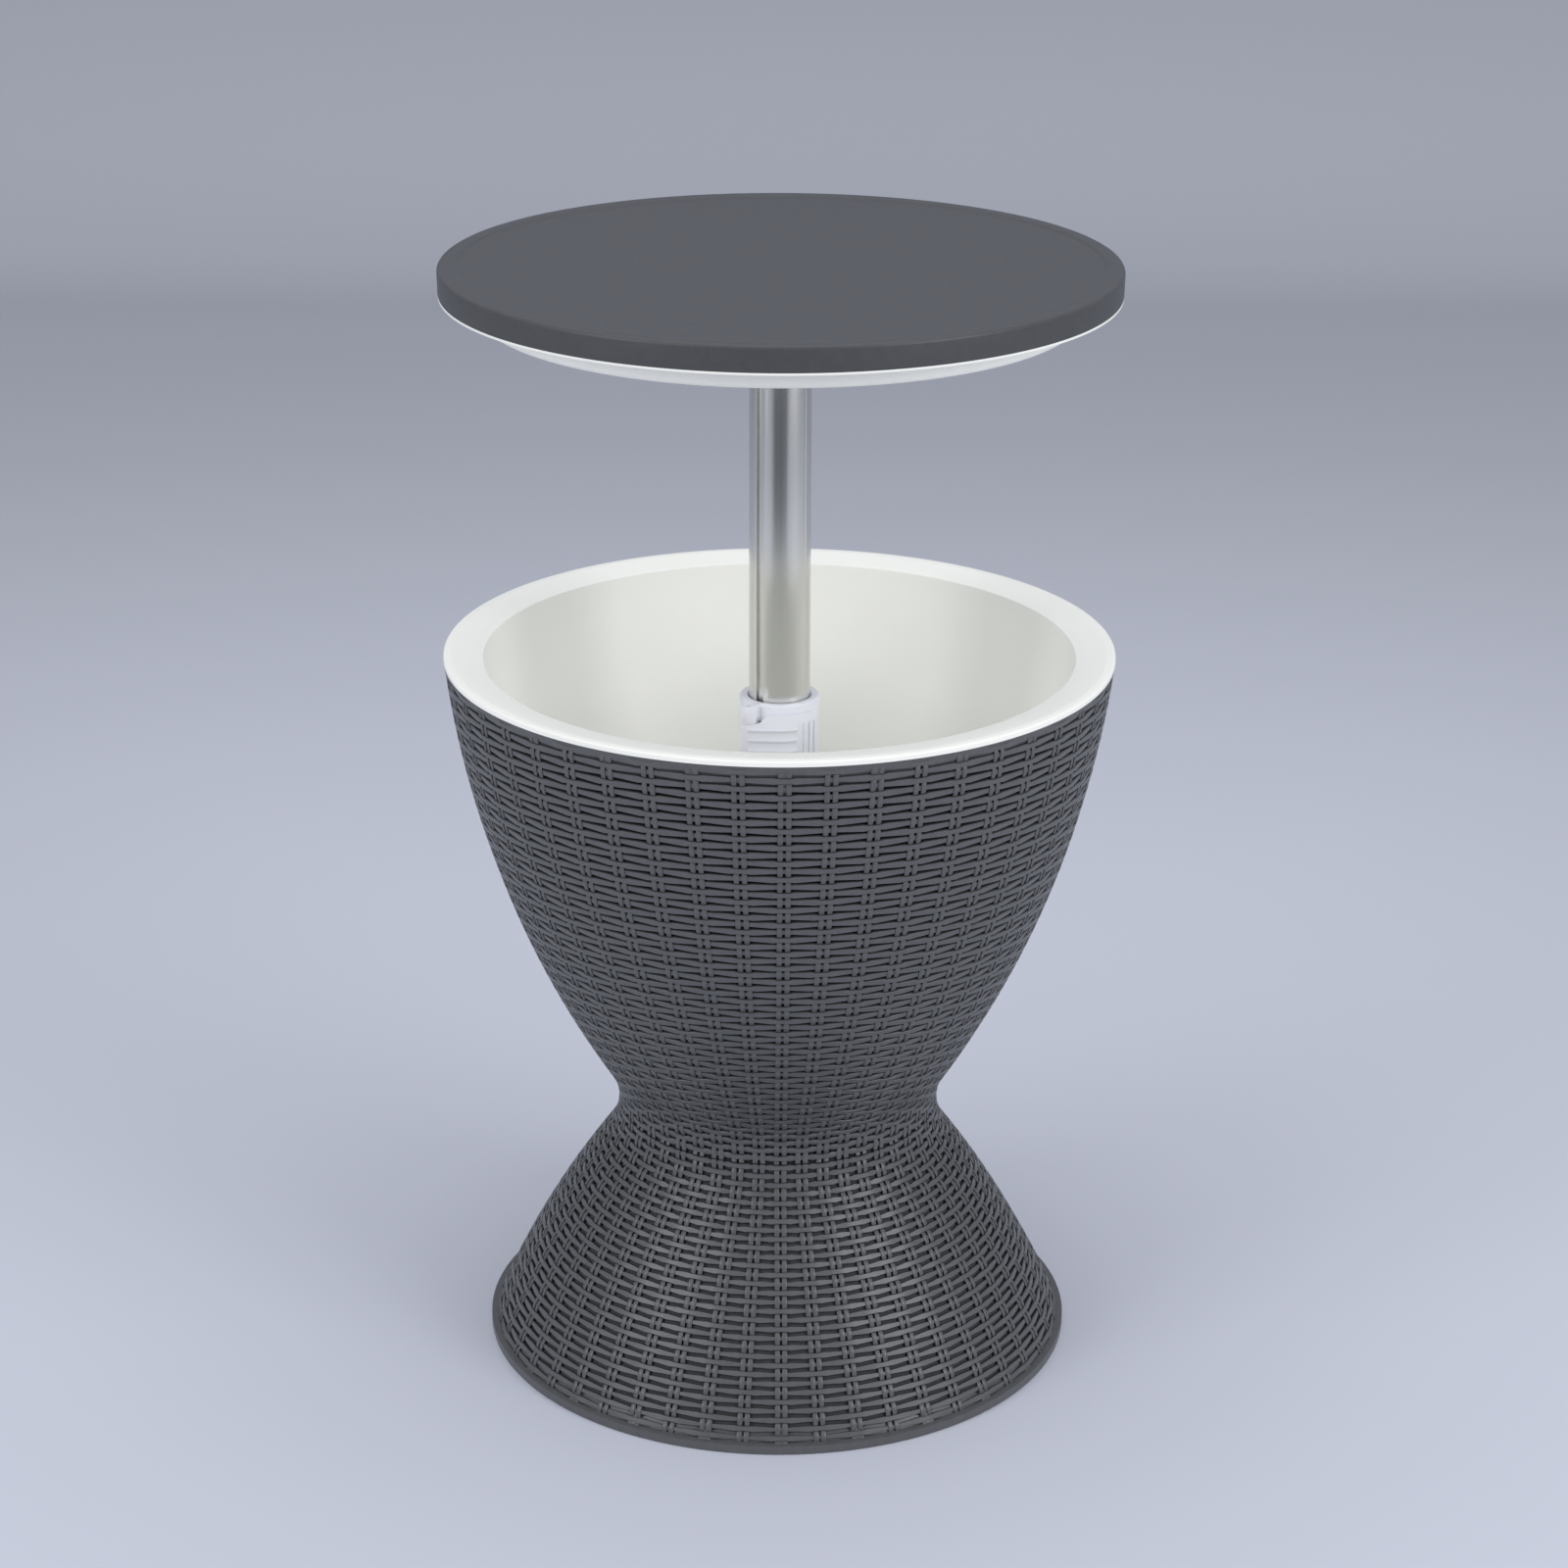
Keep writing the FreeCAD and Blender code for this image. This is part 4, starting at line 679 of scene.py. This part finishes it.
cut = bowl.modifiers.new("drain_hole", "BOOLEAN")
cut.object = drill
bpy.context.view_layer.objects.active = bowl
bpy.ops.object.modifier_apply(modifier=cut.name)
bpy.data.objects.remove(drill)
bowl.data.materials.clear()
bowl.data.materials.append(white_plastic)
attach(bowl, "housing")
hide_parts("ice_bowl")

# The clamp's collar and lever, the column and its nut, the drain's pieces, the mast's socket, bush
# and glide are small white mouldings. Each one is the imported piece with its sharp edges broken, as
# a moulding's are. The clamp's plastic is a little cooler and glossier than the bowl's.
def softened(node, name, edge, material, body):
    """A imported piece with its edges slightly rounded."""
    piece = merged_copy(node, name)
    bpy.ops.object.mode_set(mode="EDIT")
    bpy.ops.mesh.select_all(action="SELECT")
    bpy.ops.mesh.dissolve_limited(angle_limit=math.radians(0.5))
    bpy.ops.object.mode_set(mode="OBJECT")
    soft = piece.modifiers.new("soft_edges", "BEVEL")
    soft.width = edge
    soft.segments = 2
    soft.limit_method = "ANGLE"
    soft.angle_limit = math.radians(40)
    bpy.ops.object.modifier_apply(modifier=soft.name)
    bpy.ops.object.shade_smooth_by_angle(angle=math.radians(35))
    piece.data.materials.clear()
    piece.data.materials.append(material)
    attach(piece, body)
    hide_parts(node)


cool_white = moulded_plastic("cool_white", (0.80, 0.81, 0.86, 1), (0.78, 0.79, 0.84, 1),
                             0.24, 0.32)
softened("clamp_collar", "collar_moulding", 0.0004, cool_white, "housing")
softened("clamp_lever", "lever_moulding", 0.0003, cool_white, "lever")
for node, name, edge, body, slot in (
        ("column_sleeve", "sleeve_moulding", 0.0004, "housing", "white_plastic"),
        ("column_nut", "nut_moulding", 0.0006, "housing", "white_plastic"),
        ("drain_seat", "drain_seat_moulding", 0.0004, "housing", "white_plastic"),
        ("drain_nut", "drain_nut_moulding", 0.0005, "housing", "white_plastic"),
        ("drain_plug", "drain_plug_moulding", 0.0006, "plug", "white_plastic"),
        ("mast_socket", "socket_moulding", 0.0004, "lid", "white_plastic"),
        ("guide_bush", "bush_moulding", 0.0003, "housing", "bush_plastic"),
        ("mast_glide", "glide_moulding", 0.0004, "lid", "bush_plastic")):
    softened(node, name, edge, white_plastic, body)


# The mast is a drawn aluminium tube with a key groove down one side, left satin as it comes from
# the die. Its top is screwed in the socket under the lid.
def drawn_aluminium():
    """Satin aluminium tube, drawn lengthways: fine lines up the tube in its gloss."""
    material, nodes, links, shader = blank_material("drawn_aluminium")
    shader.inputs["Metallic"].default_value = 1
    shader.inputs["Base Color"].default_value = (0.79, 0.785, 0.755, 1)
    place = nodes.new("ShaderNodeTexCoord")
    stretch = nodes.new("ShaderNodeMapping")
    stretch.inputs["Scale"].default_value = (900, 900, 3)
    links.new(place.outputs["Object"], stretch.inputs["Vector"])
    lines = mottled(nodes, links, stretch.outputs["Vector"], scale=1, detail=2)
    vary_gloss(nodes, links, lines, shader, 0.20, 0.30)
    add_relief(nodes, links, lines, shader, strength=0.03, distance=0.0001)
    return material


softened("mast_tube", "mast_drawn_tube", 0.0003, drawn_aluminium(), "lid")

# The lid's top is a shallow moulded cap of graphite plastic, with a low raised lip round its
# edge. It is screwed to the white dish from below.
lid_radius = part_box("lid_top")[1].x
table_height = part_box("lid_top")[1].z
lid_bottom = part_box("lid_underside")[1].z
plug_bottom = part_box("lid_underside")[0].z
lid_draft = 0.0004
lid_plate = 0.003
turned_steps = 192
lip_width = 0.011
lip_slope = 0.0028
field = table_height - 0.001
ceiling = field - lid_plate
cap = turned("lid_cap", rounded([
    (0, ceiling),
    (lid_radius - lid_draft - lid_plate, ceiling),
    (lid_radius - lid_draft - lid_plate, lid_bottom),
    (lid_radius - lid_draft, lid_bottom, 0.0006),
    (lid_radius, table_height, 0.0024),
    (lid_radius - lip_width, table_height, 0.0015),
    (lid_radius - lip_width - lip_slope, field, 0.0015),
    (0, field),
]), steps=turned_steps)
lid_graphite = graphite_plastic("lid_graphite", (0.066, 0.068, 0.074, 1),
                                (0.058, 0.060, 0.065, 1), 0.38, 0.50, 0.42)
cap.data.materials.append(lid_graphite)
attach(cap, "lid")
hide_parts("lid_top")

# The dish under the cap is one white moulding. Its flange sits on the bowl's rim when the lid is
# down, its plug drops into the bowl's mouth, and the mast's socket passes through its middle.
flange_thickness = 0.0019
flange_inset = 0.0005
mouth_gap = 0.00175
flange_bottom = lid_bottom - flange_thickness
plug_radius = mouth_radius - mouth_gap
plug_draft = 0.001
plug_corner = 0.004
plug_floor = plug_bottom + lid_plate
dish_bore = 0.0293
dish = turned("lid_dish", rounded([
    (dish_bore, plug_bottom),
    (plug_radius - plug_draft, plug_bottom, plug_corner),
    (plug_radius, flange_bottom, 0.0006),
    (lid_radius - flange_inset, flange_bottom, 0.0006),
    (lid_radius - flange_inset, lid_bottom),
    (plug_radius - lid_plate, lid_bottom),
    (plug_radius - plug_draft - lid_plate, plug_floor),
    (dish_bore, plug_floor),
]), steps=turned_steps)
dish.data.materials.append(white_plastic)
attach(dish, "lid")
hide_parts("lid_underside")

# The seals and the brake pad are moulded rubber. The column, the drain seat and the plug each
# carry a ring of it, and the pad sits in the clamp, where the lever's cam presses it on the mast.
rubber = moulded_plastic("moulded_rubber", (0.024, 0.024, 0.025, 1), (0.014, 0.014, 0.015, 1),
                         0.55, 0.72)
for node, name, edge, body in (("column_seal", "column_seal_ring", 0.0004, "housing"),
                               ("drain_seal", "drain_seal_ring", 0.0004, "housing"),
                               ("plug_seal", "plug_seal_ring", 0.0003, "plug"),
                               ("brake_pad", "brake_pad_block", 0.0003, "pad")):
    softened(node, name, edge, rubber, body)


# The lever turns on a blackened steel pin, a plain rod pushed through the lugs of the clamp and
# through the lever between them.
def mottled_steel(name, pale, deep):
    """Plated or blackened steel: tone and gloss that vary a little from place to place."""
    material, nodes, links, shader = blank_material(name)
    shader.inputs["Metallic"].default_value = 1
    place = nodes.new("ShaderNodeTexCoord").outputs["Object"]
    spots = mottled(nodes, links, place, scale=700, detail=3)
    tone = two_tones(nodes, links, spots, deep, 0.35, pale, 0.65)
    links.new(tone, shader.inputs["Base Color"])
    vary_gloss(nodes, links, spots, shader, 0.24, 0.42)
    return material


black_steel = mottled_steel("blackened_steel", (0.10, 0.10, 0.11, 1), (0.07, 0.07, 0.08, 1))
softened("lever_pin", "lever_hinge_pin", 0.0002, black_steel, "housing")

# The screws are zinc-plated steel with pan heads and a cross recess. They are driven into the
# moulded bosses of the shells and the lid, and through the clamp's skirt and the mast's socket.
steel = mottled_steel("zinc_plated_steel", (0.60, 0.61, 0.62, 1), (0.50, 0.51, 0.53, 1))
shank_radius = 0.0015
end_slice = 0.00001
# Down a pan head: share of its radius, and share of its height.
pan_profile = ((0.0, 0.0), (0.5, 0.02), (0.8, 0.14), (0.95, 0.35), (1.0, 0.6), (1.0, 1.0))


def cross_screw(head, head_height, length):
    """One screw with its head's face at the origin, driven along +Z."""
    outline = [(head * out, head_height * down) for out, down in pan_profile]
    outline += [(shank_radius, head_height), (shank_radius, length - 2 * shank_radius),
                (0.0, length)]
    screw = turned("screw", outline, steps=20)
    for long_side, short_side in ((1.15, 0.26), (0.26, 1.15)):
        bpy.ops.mesh.primitive_cube_add(size=1)
        blade = bpy.context.object
        blade.data.transform(Matrix.Diagonal((head * long_side, head * short_side,
                                              head_height * 1.2, 1)))
        recess = screw.modifiers.new("cross_recess", "BOOLEAN")
        recess.operation = "DIFFERENCE"
        recess.object = blade
        bpy.context.view_layer.objects.active = screw
        bpy.ops.object.modifier_apply(modifier=recess.name)
        bpy.data.objects.remove(blade)
    return screw


def driven_screws(node, name, head, head_height, upright, body):
    """Screws in the places of a packed group: the head's middle and the tip's give the aim."""
    merged_copy(node, "packed_screws")
    bpy.ops.object.mode_set(mode="EDIT")
    bpy.ops.mesh.select_all(action="SELECT")
    bpy.ops.mesh.separate(type="LOOSE")
    bpy.ops.object.mode_set(mode="OBJECT")
    solids = sorted(bpy.context.selected_objects, key=lambda solid: solid.name)
    master = None
    screws = []
    for solid in solids:
        places = np.array([vertex.co[:] for vertex in solid.data.vertices])
        aim = np.array((0.0, 0.0, 1.0))
        if not upright:
            aim = -places.mean(axis=0) * (1, 1, 0)
            aim /= np.linalg.norm(aim)
        run = places @ aim
        start = places[run < run.min() + end_slice].mean(axis=0)
        way = places[run > run.max() - end_slice].mean(axis=0) - start
        if master is None:
            master = cross_screw(head, head_height, float(np.linalg.norm(way)))
        screw = master.copy()
        screw.data = master.data.copy()
        turn = Vector((0, 0, 1)).rotation_difference(Vector(way)).to_matrix().to_4x4()
        screw.data.transform(Matrix.Translation(start) @ turn)
        bpy.context.scene.collection.objects.link(screw)
        screws.append(screw)
    for spare in solids + [master]:
        bpy.data.objects.remove(spare)
    bpy.ops.object.select_all(action="DESELECT")
    for screw in screws:
        screw.select_set(True)
    bpy.context.view_layer.objects.active = screws[0]
    bpy.ops.object.join()
    piece = bpy.context.object
    piece.name = name
    bpy.ops.object.shade_smooth_by_angle(angle=math.radians(35))
    piece.data.materials.append(steel)
    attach(piece, body)
    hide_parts(node)


big_head = (0.004, 0.002)
small_head = (0.0025, 0.0012)
driven_screws("housing_screws", "waist_screws", *big_head, True, "housing")
driven_screws("lid_screws", "dish_screws", *big_head, True, "lid")
driven_screws("socket_screws", "socket_flange_screws", *big_head, True, "lid")
driven_screws("collar_screws", "clamp_screws", *small_head, False, "housing")
driven_screws("mast_screws", "mast_foot_screws", *small_head, False, "lid")
